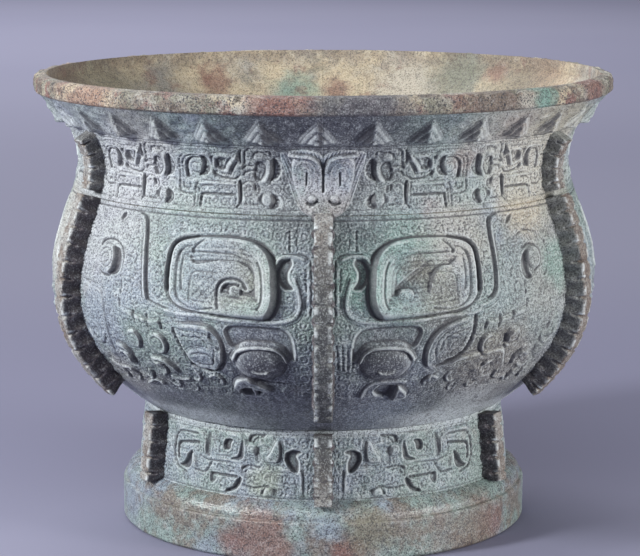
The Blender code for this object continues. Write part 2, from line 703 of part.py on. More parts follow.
def build():
    clear_scene()
    parts = new_collection("bronze_gui_vessel")
    tools = new_collection("joining_shapes")
    bowl_slots = new_collection("bowl_cutters")
    foot_slots = new_collection("foot_cutters")
    reliefs = new_collection("bowl_reliefs")
    foot_reliefs = new_collection("foot_reliefs")
    bowl_metal = new_material("bowl_patina", BOWL_COLOUR, 0.62, 0.35)
    foot_metal = new_material("foot_patina", FOOT_COLOUR, 0.62, 0.35)
    flange_metal = new_material("flange_patina", FLANGE_COLOUR, 0.70, 0.35)
    head_metal = new_material("head_patina", HEAD_COLOUR, 0.60, 0.35)
    spacer_metal = new_material("spacer_bronze", SPACER_COLOUR, 0.55, 0.80)

    bowl = turned("bowl", bowl_profile(), False, parts, bowl_metal)
    foot = turned("ring_foot", foot_profile(), True, parts, foot_metal)

    wall = belly_wall()
    belly_top = NECK_LEVEL - BELLY_FLANGE_BELOW_NECK
    belly_bottom = JOINT_LEVEL + BELLY_FLANGE_ABOVE_JOINT
    belly_line = stretch(wall, belly_top, belly_bottom)
    neck_bottom = NECK_LEVEL - NECK_FLANGE_BELOW_NECK
    neck_line = stretch(wall, NECK_LEVEL + NECK_FLANGE_ABOVE_NECK, neck_bottom)
    foot_line = stretch(foot_wall(), FOOT_HEIGHT - FOOT_FLANGE_TOP_GAP, FOOT_LOW_LEVEL)

    head_line = stretch(wall, neck_bottom + HEAD_HEIGHT, neck_bottom)
    shell_profile = offset(head_line, HEAD_THICKNESS) + offset(head_line, CLEARANCE)[::-1]
    shell = turned("head_shell", shell_profile, True, tools)

    for i in range(SECTORS):
        azimuth = FRONT + i * SECTOR_ANGLE
        number = i + 1
        add_flange(
            f"belly_flange_{number}", belly_line, BELLY_FLANGE_HEIGHT, azimuth,
            parts, tools, bowl_slots, flange_metal,
        )
        add_flange(
            f"foot_flange_{number}", foot_line, FOOT_FLANGE_HEIGHT, azimuth,
            parts, tools, foot_slots, flange_metal,
        )
    for i in range(HEADS):
        head_azimuth = FRONT + i * 2 * SECTOR_ANGLE
        flange_azimuth = head_azimuth + SECTOR_ANGLE
        number = i + 1
        for side, hand in (("left", -1), ("right", 1)):
            add_half_mask(f"mask_{number}_{side}", head_azimuth, hand, reliefs)
            add_neck_dragons(f"dragon_{number}_{side}", head_azimuth, hand, reliefs)
            add_foot_dragon(f"foot_dragon_{number}_{side}", head_azimuth, hand, foot_reliefs)
        add_head(
            f"animal_head_{number}", head_azimuth, head_line, shell,
            parts, tools, bowl_slots, head_metal,
        )
        add_flange(
            f"neck_flange_{number}", neck_line, NECK_FLANGE_HEIGHT, flange_azimuth,
            parts, tools, bowl_slots, flange_metal,
        )
    for i in range(SPACERS):
        spacer_azimuth = FRONT + (i + 0.5) * 2 * math.pi / SPACERS
        add_spacer(f"core_spacer_{i + 1}", spacer_azimuth, parts, bowl_slots, spacer_metal)

    for i in range(BLADES):
        blade_azimuth = FRONT + BLADE_START / NECK_RADIUS + i * 2 * math.pi / BLADES
        add_blade(f"blade_{i + 1}", blade_azimuth, reliefs)

    boolean(bowl, "UNION", reliefs)
    boolean(foot, "UNION", foot_reliefs)
    boolean(bowl, "DIFFERENCE", bowl_slots)
    boolean(foot, "DIFFERENCE", foot_slots)


build()
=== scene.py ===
"""Looks of the bronze gui: carved relief, notched flanges, patina, and a plain studio round the frame.

Sizes here are millimetres and turn into metres where a mesh is made. Ornament is drawn on unrolled
panels: "around" runs along the wall from the front line of a panel, "up" along the wall from the foot.
"""

import math

import bpy
import numpy as np
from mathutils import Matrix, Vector


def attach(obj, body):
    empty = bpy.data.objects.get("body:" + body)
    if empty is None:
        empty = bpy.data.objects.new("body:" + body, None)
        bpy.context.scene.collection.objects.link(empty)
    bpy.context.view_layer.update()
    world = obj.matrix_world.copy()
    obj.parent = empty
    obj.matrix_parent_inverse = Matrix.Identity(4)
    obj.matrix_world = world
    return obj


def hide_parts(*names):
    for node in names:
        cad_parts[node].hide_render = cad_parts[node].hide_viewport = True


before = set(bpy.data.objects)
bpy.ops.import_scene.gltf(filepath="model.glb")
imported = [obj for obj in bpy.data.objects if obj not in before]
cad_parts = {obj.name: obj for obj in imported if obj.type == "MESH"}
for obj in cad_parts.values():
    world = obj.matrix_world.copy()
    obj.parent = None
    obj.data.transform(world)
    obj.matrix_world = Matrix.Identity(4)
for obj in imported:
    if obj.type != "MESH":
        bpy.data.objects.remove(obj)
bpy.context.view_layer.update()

MM = 0.001
SECTORS = 6
MASKS = 3
SPACERS = 3
SEAM_FADE = 5.0
SECTOR_ANGLE = 2 * math.pi / SECTORS

# Wall of the bowl, as in the part
RIM_RADIUS = 125.0
NECK_RADIUS = 106.3
BELLY_RADIUS = 118.2
JOINT_RADIUS = 80.0
JOINT_LEVEL = 53.8
BELLY_LEVEL = 106.8
NECK_LEVEL = 159.3
LIP_LEVEL = 187.3
RIM_LEVEL = 195.0
LIP_UNDERCUT = 2.0
LIP_ROUND = 1.2
LIP_LAND = 5.8
BOWL_WALL = 4.5
BELLY_HANDLES = (22.0, 24.0)
NECK_HANDLES = (16.0, 12.0)
FLARE_REACH = 8.485
JOINT_REACH = (16.18, 11.76)

# Ring foot
BAND_RADIUS = 88.8
BAND_HEIGHT = 17.2
BAND_CHAMFER = 1.2
BAND_WALL = 6.8
FOOT_LOW_RADIUS = 81.2
FOOT_LOW_LEVEL = 24.4
FOOT_TOP_RADIUS = 78.2
FOOT_TOP_LEVEL = 53.5
FOOT_WALL = 4.5

# Panels: radius at which "around" is measured, and the edges of the ornament up the wall
BELLY_PANEL_RADIUS = 118.0
NECK_PANEL_RADIUS = 109.0
FOOT_PANEL_RADIUS = 82.0
ORNAMENT_FOOT = 28.5
BELLY_TOP = 109.2
GRID = 0.4
PLAIN_GRID = 0.9
INSIDE_GRID = 3.0
PLAIN_MARGIN = 1.5

# Walls that come in sixths: name, replaced node and slot
BELLY_WALL = ("belly_wall", "bowl", "bowl_patina")
NECK_WALL = ("neck_wall", "bowl", "bowl_patina")
FOOT_RING = ("foot_wall", "ring_foot", "foot_patina")

# Spiral ground between the raised forms
LINE_PITCH = 1.4
LINE_DEPTH = 0.32
CELL_AROUND = 5.3
CELL_UP = 5.0
SPIRAL_TURNS = 1.8
LINE_EDGE = 0.5
FAR_OFF = 9.0
# Rings, and where the ground ends on mask, neck and foot
RING_LINE = (0.3, 0.35)
RING_TURN = (0.0, 1.8 * math.pi)
MASK_TOP = 106.4
NECK_GROUND = (111.8, 135.8)
NECK_BORDERS = (111.4, 136.4, 137.6)
NECK_ENDS = (-2.0, 118.0)
BORDER_LINE = (0.35, 0.45)
FOOT_GROUND = (0.8, 26.6)

# Blades under the lip
BLADES = 33
BLADE_START = -2.0 / NECK_RADIUS
BLADE_RIDGE = 4.0
BLADE_SHARE = 0.46
BLADE_LINE = 2.4
BLADE_BASE = 138.2
BLADE_TIP = 153.4
BLADE_PEAK = 4.0
BLADE_EDGE = (0.25, 0.7)
BLADE_GROOVE = (0.35, 0.6)

# Horns of the masks
HORN_GROOVE = 0.9
HORN_RIM = 2.6
HORN_SCOOP = 10.0
HORN_SUNK = 1.0
HORN_PITCH = 1.7
HORN_LINE = 0.15
HORN_LINE_FADE = 0.8

# Flanges: low end, high end and height of each kind, and the first seed of its notches and bumps
FLANGE_HALF = 3.7
BELLY_FLANGE = (23.5, 108.9, 8.4)
NECK_FLANGE = (111.7, 137.9, 6.5)
FOOT_FLANGE = (-1.2, 27.7, 7.7)
BELLY_SEED = 100
FOOT_SEED = 120
NECK_SEED = 140
# Across a flange: its side and its outer face as (from, to, places), and the corner between them
FLANGE_SIDE = (-0.16, 0.86, 11)
FLANGE_CORNER = [(0.97, 0.93), (0.9, 0.98)]
FLANGE_FACE = (0.8, 0.0, 7)
NOTCH_PITCH = 6.8
NOTCH_HALF = 0.6
NOTCH_DEPTH = 1.6
NOTCH_SPREAD = (0.6, 1.4)
NOTCH_PINCH = 0.16
NOTCH_START = 0.35
NOTCH_FADE = 0.5
SCALLOP = 0.8
# Pale ticks on one wall of each notch are painted highlights: place in the pitch, half-width and strength
TICK_PLACE = 0.66
TICK_HALF = 0.45
TICK_LIGHT = 1.6
SECTION_SPACING = 0.7
FLANGE_BUMPS = ((0.22, 3.0, 0), (0.12, 1.2, 1))
FOOT_LEAN = (-0.1, 0.995)

# Unevenness of the cast walls, as layers of bumps (height, hill size, first seed)
WALL_BUMPS = ((0.16, 7.0, 10), (0.08, 1.4, 20))
WORN_BUMPS = ((0.42, 2.8, 30),)
BAND_BUMPS = ((0.15, 9.0, 40),)
HEAD_BUMPS = ((0.08, 1.5, 60),)
# Rough zones up the wall: low end, its fade, high end, its fade; the neck's ends at the lip
BELLY_WORN = (20.0, 12.0, 60.0, 18.0)
NECK_WORN = (134.0, 6.0)
NECK_WORN_FADE = 3.0

# Base band of the foot as (inset, level), its moulding, and how far it is eaten back above the ground
BAND_POINTS = (
    (BAND_WALL, 0.0), (BAND_CHAMFER, 0.0), (0.0, BAND_CHAMFER), (0.0, BAND_HEIGHT - 0.8),
    (0.6, BAND_HEIGHT), (1.4, BAND_HEIGHT),
)
BAND_SPACING = 0.7
BAND_EATEN = 0.15
BAND_WHOLE = 0.6
BAND_FADE = 2.0
MOULDING_BULGE = ((BAND_RADIUS - 1.2, BAND_HEIGHT + 4.2), (FOOT_LOW_RADIUS + 2.0, FOOT_LOW_LEVEL - 0.4))
MOULDING_SPACING = 0.4
MOULDING_POINTS = 20
FOOT_INSIDE_ROWS = 10
FOOT_INSIDE_SPACING = 4.0
FOOT_INSIDE_LOW = 1.0

# Rim as (inset, level), how far it is eaten back, and its missing pieces (degrees, half-width, depth)
LIP_POINTS = (
    (LIP_UNDERCUT, LIP_LEVEL), (0.5, LIP_LEVEL + 0.5), (0.0, LIP_LEVEL + LIP_ROUND + 0.4),
    (0.0, RIM_LEVEL - 2.2), (0.7, RIM_LEVEL - 0.7), (2.0, RIM_LEVEL), (LIP_LAND, RIM_LEVEL),
)
LIP_SPACING = 0.6
LIP_EATEN = 0.35
LIP_FADE = 3.0
CHIP_START = 4.0
LIP_BUMPS = ((0.3, 11.0, 5), (0.35, 2.4, 6), (0.2, 1.1, 7))
LIP_CHIPS = (
    (246.5, 2.4, 1.6), (230.0, 2.2, 2.4), (239.0, 16.0, 0.7), (330.0, 3.0, 1.0), (345.0, 1.6, 1.2),
    (18.0, 5.0, 0.7), (305.0, 2.0, 0.9), (38.0, 2.2, 1.0), (150.0, 7.0, 0.8), (205.0, 4.0, 0.7),
)

# Inner floor of the bowl, from its middle to its edge, as (radius, level)
FLOOR_TOP = ((0.0, 55.6), (40.0, 56.3), (78.6, 58.2))
FLOOR_BOTTOM = ((0.0, 51.0), (40.0, 52.4), (76.8, 53.6))
FLOOR_SPACING = 4.0
FLOOR_TURNS = 96


def between(ends, share):
    """One value, or a (start, end) pair spread along a line."""
    start, end = ends if isinstance(ends, tuple) else (ends, ends)
    return start + (end - start) * share


def arc(centre, radius, turns, count):
    """Points along an arc or a spiral; radius and turns are values or (start, end) pairs."""
    share = np.linspace(0, 1, count)
    reach = between(radius, share)
    turn = between(turns, share)
    return np.stack([centre[0] + reach * np.cos(turn), centre[1] + reach * np.sin(turn)], axis=-1)


def lattice(arounds, ups):
    """Every place of a small grid."""
    return tuple((around, up) for up in ups for around in arounds)


def rings(radius, *centres):
    """Rings of one radius."""
    return tuple((centre, radius) for centre in centres)


# Ornament of half a panel, as (around, up) places. A motif's parts are plates (height, outline),
# ridges (half-width, height, line), banks (height, reach, line), domes (centre, radii, height), grooves
# (half-width, depth, line), pits (depth, outline), bowls (centre, radii, depth) and rings (centre,
# radius). A bank is steep on the right of its line

# Outer edge of a horn with the height of its crest, (around, up, crest)
HORN = (
    (65.5, 92.5, 0.2), (65.5, 80.5, 0.2), (64, 74.5, 0.3), (59.5, 71, 0.5), (51, 69.5, 0.8),
    (39, 68.5, 1.6), (30.5, 68, 2.6), (23, 68, 3.2), (19.5, 71, 3.4), (18, 76.5, 3.4), (18.5, 84, 3.2),
    (19.5, 89.5, 2.8), (22.5, 94.5, 2.2), (28, 98, 1.6), (37, 99.5, 1.3), (46, 99.5, 1.1), (54.5, 99, 0.6),
    (61.5, 97.5, 0.3), (64.5, 95.5, 0.2),
)
# The flat field beside a horn's scroll, with a soft edge; the left one runs on over the scroll
RIGHT_FIELD = (
    (58, 90), (54, 86.8), (49, 86), (46.4, 84), (45, 80), (44.4, 73), (46, 71.2), (52, 71.4), (57, 73.5),
    (59.6, 77.5), (60.4, 84),
)
LEFT_FIELD = (
    (58, 90), (54, 86.8), (49, 87.4), (43, 88.6), (36, 88.6), (30.6, 86), (28.6, 81.6), (31, 80),
    (33, 82.4), (36.6, 83.4), (40.4, 82.6), (42.6, 80), (43, 76), (42.6, 72), (46, 71.2), (52, 71.4),
    (57, 73.5), (59.6, 77.5), (60.4, 84),
)
HORN_FIELD_HEIGHT = 0.2
HORN_FIELD_EDGE = 5.5
# What both halves of a mask have
MASK = {
    "ridges": (
        (0.7, 0.5, ((11.4, 84), (9.8, 79), (9, 74), (10.4, 69.6), (14.5, 67.4), (20.5, 66.7),
                    (30.5, 67), (39, 67), (49.5, 68), (60.5, 68), (66, 69))),
        (0.5, 0.4, ((19.2, 82), (19.2, 87), (18.4, 91), (16, 92.9), (12, 93), (8, 91.6))),
    ),
    "banks": (
        (0.6, 5.0, ((92, 67), (84, 65.5), (74.5, 63.5), (66, 65))),
    ),
    "bowls": (
        ((36, 77), (9, 8), 0.8),
    ),
    "grooves": (
        ((0.5, 0.9), 1.3, ((54, 99.5), (60.5, 98), (64.8, 95), (66, 89), (66, 81.5), (65.6, 77.5))),
        (0.35, 0.65, ((56, 95.5), (59.5, 94.5), (61.8, 91), (62, 84), (61, 76), (57.5, 72), (51, 70.5),
                      (44.5, 71.5))),
        (0.4, 0.8, ((50.5, 98.5), (53, 96.5), (55, 94.5), (55, 93))),
        (0.3, 0.6, ((55, 93.6), (47, 93.2), (38, 93), (34, 92))),
        (0.3, 0.5, ((43.8, 85.4), (48, 85.6), (53, 85.4), (54.8, 83.6), (55.2, 79), (55, 73))),
        (0.4, 0.7, ((59.6, 90), (59.8, 84), (58.8, 78))),
        (0.35, 0.7, ((26.4, 90), (24.8, 86), (24, 80.5), (24.2, 74.5), (25.5, 72.2))),
        (0.3, 0.6, ((16, 93.8), (10, 93.8), (6, 92.6), (4.8, 89), (4.6, 80), (4.6, 70))),
        (0.3, 0.6, ((14, 103), (13.5, 94.8))),
        (0.3, 0.45, ((11, 103), (10.8, 97.5))),
        (0.3, 0.5, ((7, 88), (6.6, 80), (6.4, 72))),
        (0.3, 0.9, ((90.5, 78), (90.5, 73))),
        (0.3, 0.9, ((91, 70.5), (91, 67.5))),
        (0.4, 0.8, ((83, 66.5), (82.5, 63))),
        (0.4, 0.8, ((76, 66), (75.5, 61))),
        (0.4, 0.8, ((69, 64.5), (68.5, 61))),
        (0.4, 0.55, ((-2, 107.2), (126, 107.2))),
    ),
    "pits": (
        (1.5, ((13.4, 92.2), (16.8, 90.7), (18.1, 86.5), (17, 82.4), (14.4, 80), (12, 80.2), (13.8, 83),
               (14.1, 86.5), (12.6, 89.8))),
    ),
    "rings": (
        *rings(1.4, *lattice((45.6, 49, 52.4), (75, 78.6, 82.2))),
        *rings(2.2, (70, 76), (70, 82), (70.4, 88), (71, 94), (86, 76), (85, 82), (85.6, 88), (86, 94)),
        *rings(1.8, (34.6, 102.8), (40, 102.8), *lattice((45.4, 50.8, 56.2, 61.6), (103,))),
    ),
}
BROW_DEPTH = 1.3
BROW_EDGE = 1.6
BROW = ((39, 59.5), (39.5, 62.5), (37, 64.6), (30, 65), (18, 64.4), (13.6, 62), (12, 57), (12, 50.5),
        (14, 53), (16.4, 56.2), (20, 57.6), (26, 58), (32, 57.6), (35.6, 55.4), (37.6, 56.4))
# The eye is a dome (centre, radii, height, power, shoulder), its lid and slit are ridges
EYE = ((26, 48), (10.8, 8), 2.6, 2.0, 0.7)
EYE_LID = (
    (0.7, 0.5), (1.5, 1.2),
    ((37.2, 50.6), (35, 53.8), (31, 55.6), (26, 56.2), (20, 55.6), (16.6, 53.4), (14.8, 49.8)),
)
EYE_SLIT = (0.4, 3.5, ((29, 46), (26, 45.5), (22.4, 46.2)), 0.5)

# The cast differs from half to half in its horn's scroll, leaf, mouth and lower edge
LEFT_HALF = {
    "plates": (
        (1.7, ((40, 35.5), (38, 39), (33, 40.5), (29, 38.5), (23, 35.5), (23.5, 34), (29, 34),
               (33, 35.5), (37, 34), (38, 31))),
    ),
    "ridges": (
        (0.7, 0.8, ((110, 39), (104, 37.5), (97, 37))),
        (0.6, 0.7, ((72, 36.5), (66, 35.5), (62, 37))),
        (0.6, 0.8, ((91, 29.5), (84, 33), (80.5, 31.5))),
        (0.7, 0.5, ((87, 105.8), (84.4, 104.8), (82, 102), (80.4, 96), (78.4, 86), (76.9, 76), (75.8, 73))),
    ),
    "banks": (
        (0.5, 10.0, ((120, 74.5), (110, 74), (104, 73), (102, 71), (101, 66), (101, 56), (102, 46),
                     (103.5, 39))),
        (0.4, 8.0, ((86, 106), (83.5, 105.6), (81, 103), (79, 96), (77, 86), (75.5, 76), (74, 72),
                    (66, 69.5))),
        (1.5, 12.0, ((63, 63.2), (54, 63.8), (46.5, 63.2), (43, 59.5), (41.8, 54), (42.5, 48.5),
                     (46.5, 44.5), (52, 43.5))),
        (1.2, 6.0, ((99, 51), (93, 50), (90.5, 46.5), (90, 41))),
        (1.0, 6.0, ((80, 47), (72, 46), (67.5, 42), (66.5, 37.5))),
    ),
    "domes": (
        ((35.4, 78.4), (2.6, 2.3), 0.6),
        ((101.6, 86), (7, 6), 1.1),
        ((51, 49), (7.2, 5), 1.0),
        ((84.5, 54.5), (4.2, 4.4), 0.7),
        ((72, 54), (4.8, 5), 0.8),
        ((112, 54), (6, 5.5), 0.6),
        ((80.5, 31.5), (1.8, 1.4), 1.0),
    ),
    "grooves": (
        ((0.4, 0.7), 0.9, ((42, 71.8), (43, 76), (42.6, 80), (40.4, 82.6), (36.6, 83.4), (33, 82.4),
                           (31, 79.8))),
        (0.4, 0.8, ((86, 106.4), (83, 105.6), (81, 103), (79, 96), (77, 86), (75.5, 76), (74, 72),
                    (66, 69.6))),
        (0.25, 0.5, ((82, 98), (80, 86), (78.2, 72.6))),
        (0.3, 0.6, ((112, 74.2), (104, 73), (102, 71), (101, 66), (101, 56), (102, 46), (103.5, 39))),
        ((0.5, 0.3), 0.8, ((107.5, 90.6), (106, 93), (102, 94.2), (96.6, 93.4), (92.6, 90.6),
                           (91, 86.5), (91.6, 82))),
        (0.4, 0.7, ((98, 79.4), (102.6, 79.6), (106.6, 82.4), (108, 86))),
        (0.3, 0.5, arc((101.4, 86), (4.8, 1.2), (0.0, 3.6 * math.pi), 20)),
        (0.4, 0.8, ((63, 61.5), (61.5, 56), (60, 51.5), (57.5, 46.5))),
        (0.9, 1.2, ((57, 45.3), (51, 43.2), (45, 43.6), (42.6, 46.8))),
        (0.3, 0.6, ((60, 61.5), (51, 61.5), (46.5, 59.5), (44.8, 54.5), (46, 49))),
        (0.3, 0.6, ((58.5, 59), (51.5, 59), (48.5, 57), (48, 54.5))),
        (0.3, 0.6, ((56, 51), (51, 52), (46.5, 50.5), (46.5, 47.5), (51, 46.4), (55, 47))),
        (0.4, 0.7, ((28, 39), (22, 38), (17, 37.5))),
    ),
    "pits": (
        (1.4, ((98, 91.2), (94.8, 90.6), (92.8, 87.6), (92.4, 84), (93.2, 81.4), (96, 80), (98.6, 80.2),
               (96.8, 81.8), (95.9, 84.5), (96, 87.5), (97.2, 90))),
        (1.0, ((98.5, 104), (96.5, 106), (95.6, 104.4), (97.2, 103), (97.5, 101.5))),
        (0.9, ((46, 62), (43, 59.5), (42, 54.5), (43.5, 54), (45, 57.5), (46.5, 59.5))),
        (2.0, ((37, 33), (34, 34.5), (29, 33.5), (28, 31), (30.5, 29), (34, 29.5), (37, 31))),
    ),
    "rings": (((84.5, 54.5), 2.4), ((72, 54), 2.8), ((112, 54), 3.6), ((112, 54), 1.8), ((78, 63.4), 1.4)),
}
LEFT_FANG = ((0.9, 0.5), 0.6, ((31.4, 33), (31.2, 30)))
RIGHT_HALF = {
    "bowls": (
        ((44, 90), (9, 8), 0.5),
        ((37.5, 85), (8, 6), 0.7),
        ((31.5, 80.5), (7, 6), 0.7),
    ),
    "plates": (
        (2.2, ((31.4, 27.6), (36.8, 28.4), (38.4, 31), (35.8, 34.4), (33, 35.4), (32, 31))),
    ),
    "ridges": (
        (0.8, 0.7, ((17.5, 29), (18.5, 34), (22, 37.5), (29, 38.5), (36, 38))),
        (0.7, 0.7, ((96, 40), (100, 38.5), (106, 41))),
        (0.7, 0.7, ((84, 31), (90, 34), (94, 31))),
        (0.5, 0.5, ((80, 105.4), (77.5, 104), (76.3, 100), (75.9, 90), (75.4, 80), (74.4, 75),
                    (71.5, 72.2), (66, 70.6))),
    ),
    "banks": (
        (-0.6, 9.0, ((46, 91.5), (41.5, 88.6), (36, 85.2), (31, 81.4), (28.8, 78), (28.6, 75))),
        (0.3, 8.0, ((104, 74.6), (100.4, 73), (99.8, 66), (100.4, 58), (101, 50))),
        (1.4, 9.0, ((63, 67.4), (55, 65.6), (47.5, 62.6), (43.8, 58), (42.6, 52), (44, 47), (48, 44.6))),
        (1.0, 7.0, ((88, 37), (83.5, 45), (80.5, 50.2), (70, 50.2), (60, 49), (50, 45.4))),
        (0.9, 5.0, ((81, 38), (76, 36.6), (72, 39), (71.5, 44))),
    ),
    "domes": (
        ((33, 76.6), (3.6, 3.2), 0.7),
        ((97.4, 87), (4.4, 4.4), 1.0),
        ((84.4, 56.8), (3.6, 3.6), 1.1),
        ((72, 54), (4.6, 4.2), 0.7),
        ((96.5, 47), (4, 3.4), 0.9),
        ((112, 57), (4.6, 5), 0.8),
        ((50, 40), (4.4, 3.4), 0.7),
        ((108, 46), (4, 4), 0.7),
    ),
    "grooves": (
        ((0.5, 0.3), 0.7, ((81, 106.6), (76.6, 105.6), (74.9, 102), (74.5, 92), (74, 82), (73, 76),
                           (70, 73.2))),
        (0.25, 0.5, ((77.6, 98), (77.1, 90), (76.7, 82))),
        (0.25, 0.5, ((82.4, 86.4), (79, 86.6), (78.2, 83), (78.2, 77))),
        (0.4, 0.7, ((92, 91.4), (96.5, 92.8), (101, 91), (102.6, 87.5), (101, 83.5), (97.5, 81.6))),
        (0.4, 0.5, ((90, 97), (96, 98.6), (103, 97), (107.6, 92), (108, 85), (104, 79))),
        (0.3, 0.4, ((99.6, 74), (100.3, 66), (100.5, 58))),
        (0.6, 1.0, ((63.6, 67), (63.2, 60), (61, 53), (56, 48.6), (49, 45.2))),
        (0.3, 0.6, ((60.5, 64.6), (53, 62.8), (48.4, 59.6), (46.4, 55), (47.4, 49.6))),
        (0.3, 0.6, ((60.6, 62), (54, 60.6), (50, 57.6), (49, 53))),
        (0.3, 0.6, ((60, 59), (58, 54.4), (54, 51))),
        (0.35, 0.6, ((5.4, 57), (6.2, 46))),
        (0.35, 0.6, ((7.6, 57), (8.2, 45.5))),
        (0.35, 0.6, ((9.8, 56.4), (10.2, 46))),
        (0.35, 0.6, ((12, 55), (12.2, 47))),
        (0.4, 0.8, ((88.6, 56), (87.6, 53.4), (84.4, 52.4), (81.2, 53.8), (80.4, 57))),
    ),
    "pits": (
        (1.2, ((93.6, 90.2), (91, 88), (89.8, 84.5), (90.3, 80.6), (92.5, 78.6), (94.6, 79.4),
               (93.3, 81.5), (92.7, 84.5), (93, 87.6))),
        (0.9, ((90.4, 105.8), (87.6, 104.8), (85.8, 102.2), (87, 102.4), (89.2, 104.2))),
        (0.5, ((50.4, 59.8), (53, 59.2), (56, 58.6), (53.4, 57), (52, 54), (51, 57))),
        (1.5, ((31.4, 35.6), (27, 36.2), (23, 33), (24.6, 29.4), (29.6, 28.6), (31.2, 31))),
    ),
    "rings": (((84.4, 56.8), 2.0), ((72, 54), 2.6), ((96.5, 47), 2.2), ((112, 57), 2.8), ((50, 40), 2.2)),
}

# Curls of the mask's lower edge: centre, radius, height and turn
CURLS = (
    ((94.5, 43.5), 4.2, 1.0, -0.6), ((76, 41), 3.8, 1.0, 0.3), ((58.5, 39), 3.2, 0.8, 0.9),
    ((48, 37.5), 3.4, 0.8, -0.4), ((72, 33), 2.8, 0.8, 1.6), ((86, 36.5), 3.0, 0.9, 1.2),
    ((98, 33), 3.4, 0.9, 0.2), ((109.5, 54.5), 5.4, 0.6, 2.0), ((107, 33), 3.2, 0.8, 0.6),
    ((62, 31.5), 2.4, 0.6, 0.4), ((85, 54.5), 4.0, 0.6, 0.0), ((72, 54), 4.6, 0.6, 0.5),
)

# A dragon of the neck band, which comes twice in each panel
NECK_DRAGON = {
    "ridges": (
        (0.5, 0.5, ((21.6, 131), (21.4, 128), (22.2, 124.6), (23.5, 122.6))),
        (0.5, 0.5, ((39.4, 125.8), (38, 128.6), (36, 131), (35, 133))),
    ),
    "domes": (
        ((22.4, 115.2), (2.2, 2.2), 0.5),
        ((25.4, 132), (2, 1.2), 0.5),
        ((53.4, 127), (2.6, 2.4), 0.3),
    ),
    "banks": (
        (0.5, 4.0, ((62, 132.5), (50, 133.8), (46, 131.5), (45.4, 127), (46.4, 122.6))),
        (0.5, 4.0, ((62, 121.4), (48, 121.6), (36.4, 121.6), (34.8, 119), (34.6, 112.5))),
        (0.5, 3.0, ((33, 122.4), (28.6, 121.6), (26.6, 118.4), (26.8, 113))),
        (0.5, 3.0, ((45, 132.2), (39.6, 132.8), (34.6, 131.4), (33.2, 127), (34.2, 123.4))),
    ),
    "grooves": (
        (0.3, 0.6, ((28.5, 128.6), (31.4, 128.3), (33, 127))),
        (0.3, 0.6, ((28.5, 126.3), (31.4, 126), (33, 124.6))),
        (0.3, 0.6, ((23, 133.6), (24.5, 134.7), (27, 134.1), (28, 132.2))),
        (0.3, 0.6, ((20.4, 133.4), (21.4, 135), (23, 134.7))),
        (0.35, 0.8, ((29.4, 136), (31, 134.6), (31.6, 131.4), (31.8, 129.4))),
        (0.35, 0.8, ((32.6, 135.4), (33.4, 133), (33.6, 129.4))),
        (0.35, 0.8, ((45.6, 131.8), (46, 127.6), (44.4, 124.4), (40, 123.2), (36, 123.2), (34, 125),
                     (33.8, 127.6))),
        (0.3, 0.6, ((44.6, 125.9), (42, 125), (38, 124.9))),
        (0.3, 0.6, ((40.6, 126.8), (39.3, 129.4), (37.2, 132))),
        (0.3, 0.6, ((37.6, 125.8), (36.4, 128), (34.8, 130.2))),
        ((0.3, 0.6), 1.0, ((51.6, 131.3), (54.5, 131.2), (57, 129.4), (57.8, 126.6), (57.4, 123.2))),
        (0.3, 0.6, ((51.8, 124.8), (54.6, 125.2), (55.6, 127.2), (54.4, 129), (52.4, 128.8))),
        (0.3, 0.6, ((61.6, 121), (61.6, 128), (60, 131.4), (56.6, 133.2), (50, 133.6))),
        (0.3, 0.6, ((60, 122.6), (60.2, 127.6), (58.8, 130.4), (55.6, 132.2), (52, 132.5))),
        (0.35, 0.7, ((61.6, 121), (61.4, 117.6), (59, 116.4), (55.2, 116.4))),
        (0.3, 0.6, ((59.6, 120.8), (59.4, 118.7), (57, 118.5), (56.4, 120.6))),
        (0.3, 0.7, ((54, 111.8), (54, 117.6), (53, 120.6), (50.6, 121.7), (36, 121.7))),
        (0.3, 0.6, ((52.7, 111.8), (52.6, 116.8), (51.6, 119.2), (49.6, 120), (46.4, 120))),
        (0.5, 1.0, ((51.2, 112), (51, 115.4), (49.6, 116.7), (36.4, 116.9))),
        (0.3, 0.7, ((36, 121.4), (35.5, 118), (35.5, 113.4))),
        (0.45, 0.9, ((34, 122.2), (33.6, 117.4), (33.8, 113.8), (35, 112.2))),
        (0.35, 0.7, ((33, 121.2), (31, 122.2), (28.4, 121.6), (27.4, 119))),
        (0.3, 0.6, ((33, 113.4), (26.6, 113.2))),
        (0.3, 0.6, ((24.6, 117.2), (25.2, 114.8), (23.6, 112.6))),
    ),
    "pits": (
        (1.0, ((19.4, 132.2), (17.6, 129.8), (17, 126.6), (18.2, 124), (21.4, 122.8), (20.3, 125.6),
               (20.3, 129.2))),
        (0.8, ((26.8, 130.2), (24.4, 130.2), (23, 128), (23.4, 125), (25.4, 122.6), (27.4, 123),
               (28, 126.4))),
        (0.9, ((43.8, 130.6), (42, 131.8), (39.8, 131), (40.8, 129), (40.4, 127.2), (42, 126.3),
               (43.8, 127.8))),
        (1.0, ((51, 132.2), (48.6, 131.6), (47, 129), (47.2, 126), (49.2, 124), (52.2, 123.8),
               (50.2, 126), (49.6, 129))),
        (0.8, ((27.8, 121.2), (26, 120.6), (25.6, 118.4), (26.8, 116.6), (28, 118.2))),
        (0.9, ((20.8, 117.6), (18.2, 116.4), (17.4, 113.6), (19.4, 111.8), (21.2, 112.2), (19.6, 114.6))),
    ),
    "rings": (
        *rings(1.1, *lattice((43.8, 40.8, 37.8), (118.9,))),
        *rings(1.2, *lattice((47.6, 44.2, 40.8, 37.6), (113.9,))),
        ((30.4, 118.4), 1.9), ((30, 114.8), 0.9), ((57, 113.9), 1.3),
    ),
}
DRAGON_STEP = 47.0
# Share of the neck band's relief that is left in each sixth
NECK_WEAR = (0.95, 0.9, 1.0, 0.9, 0.9, 1.0)

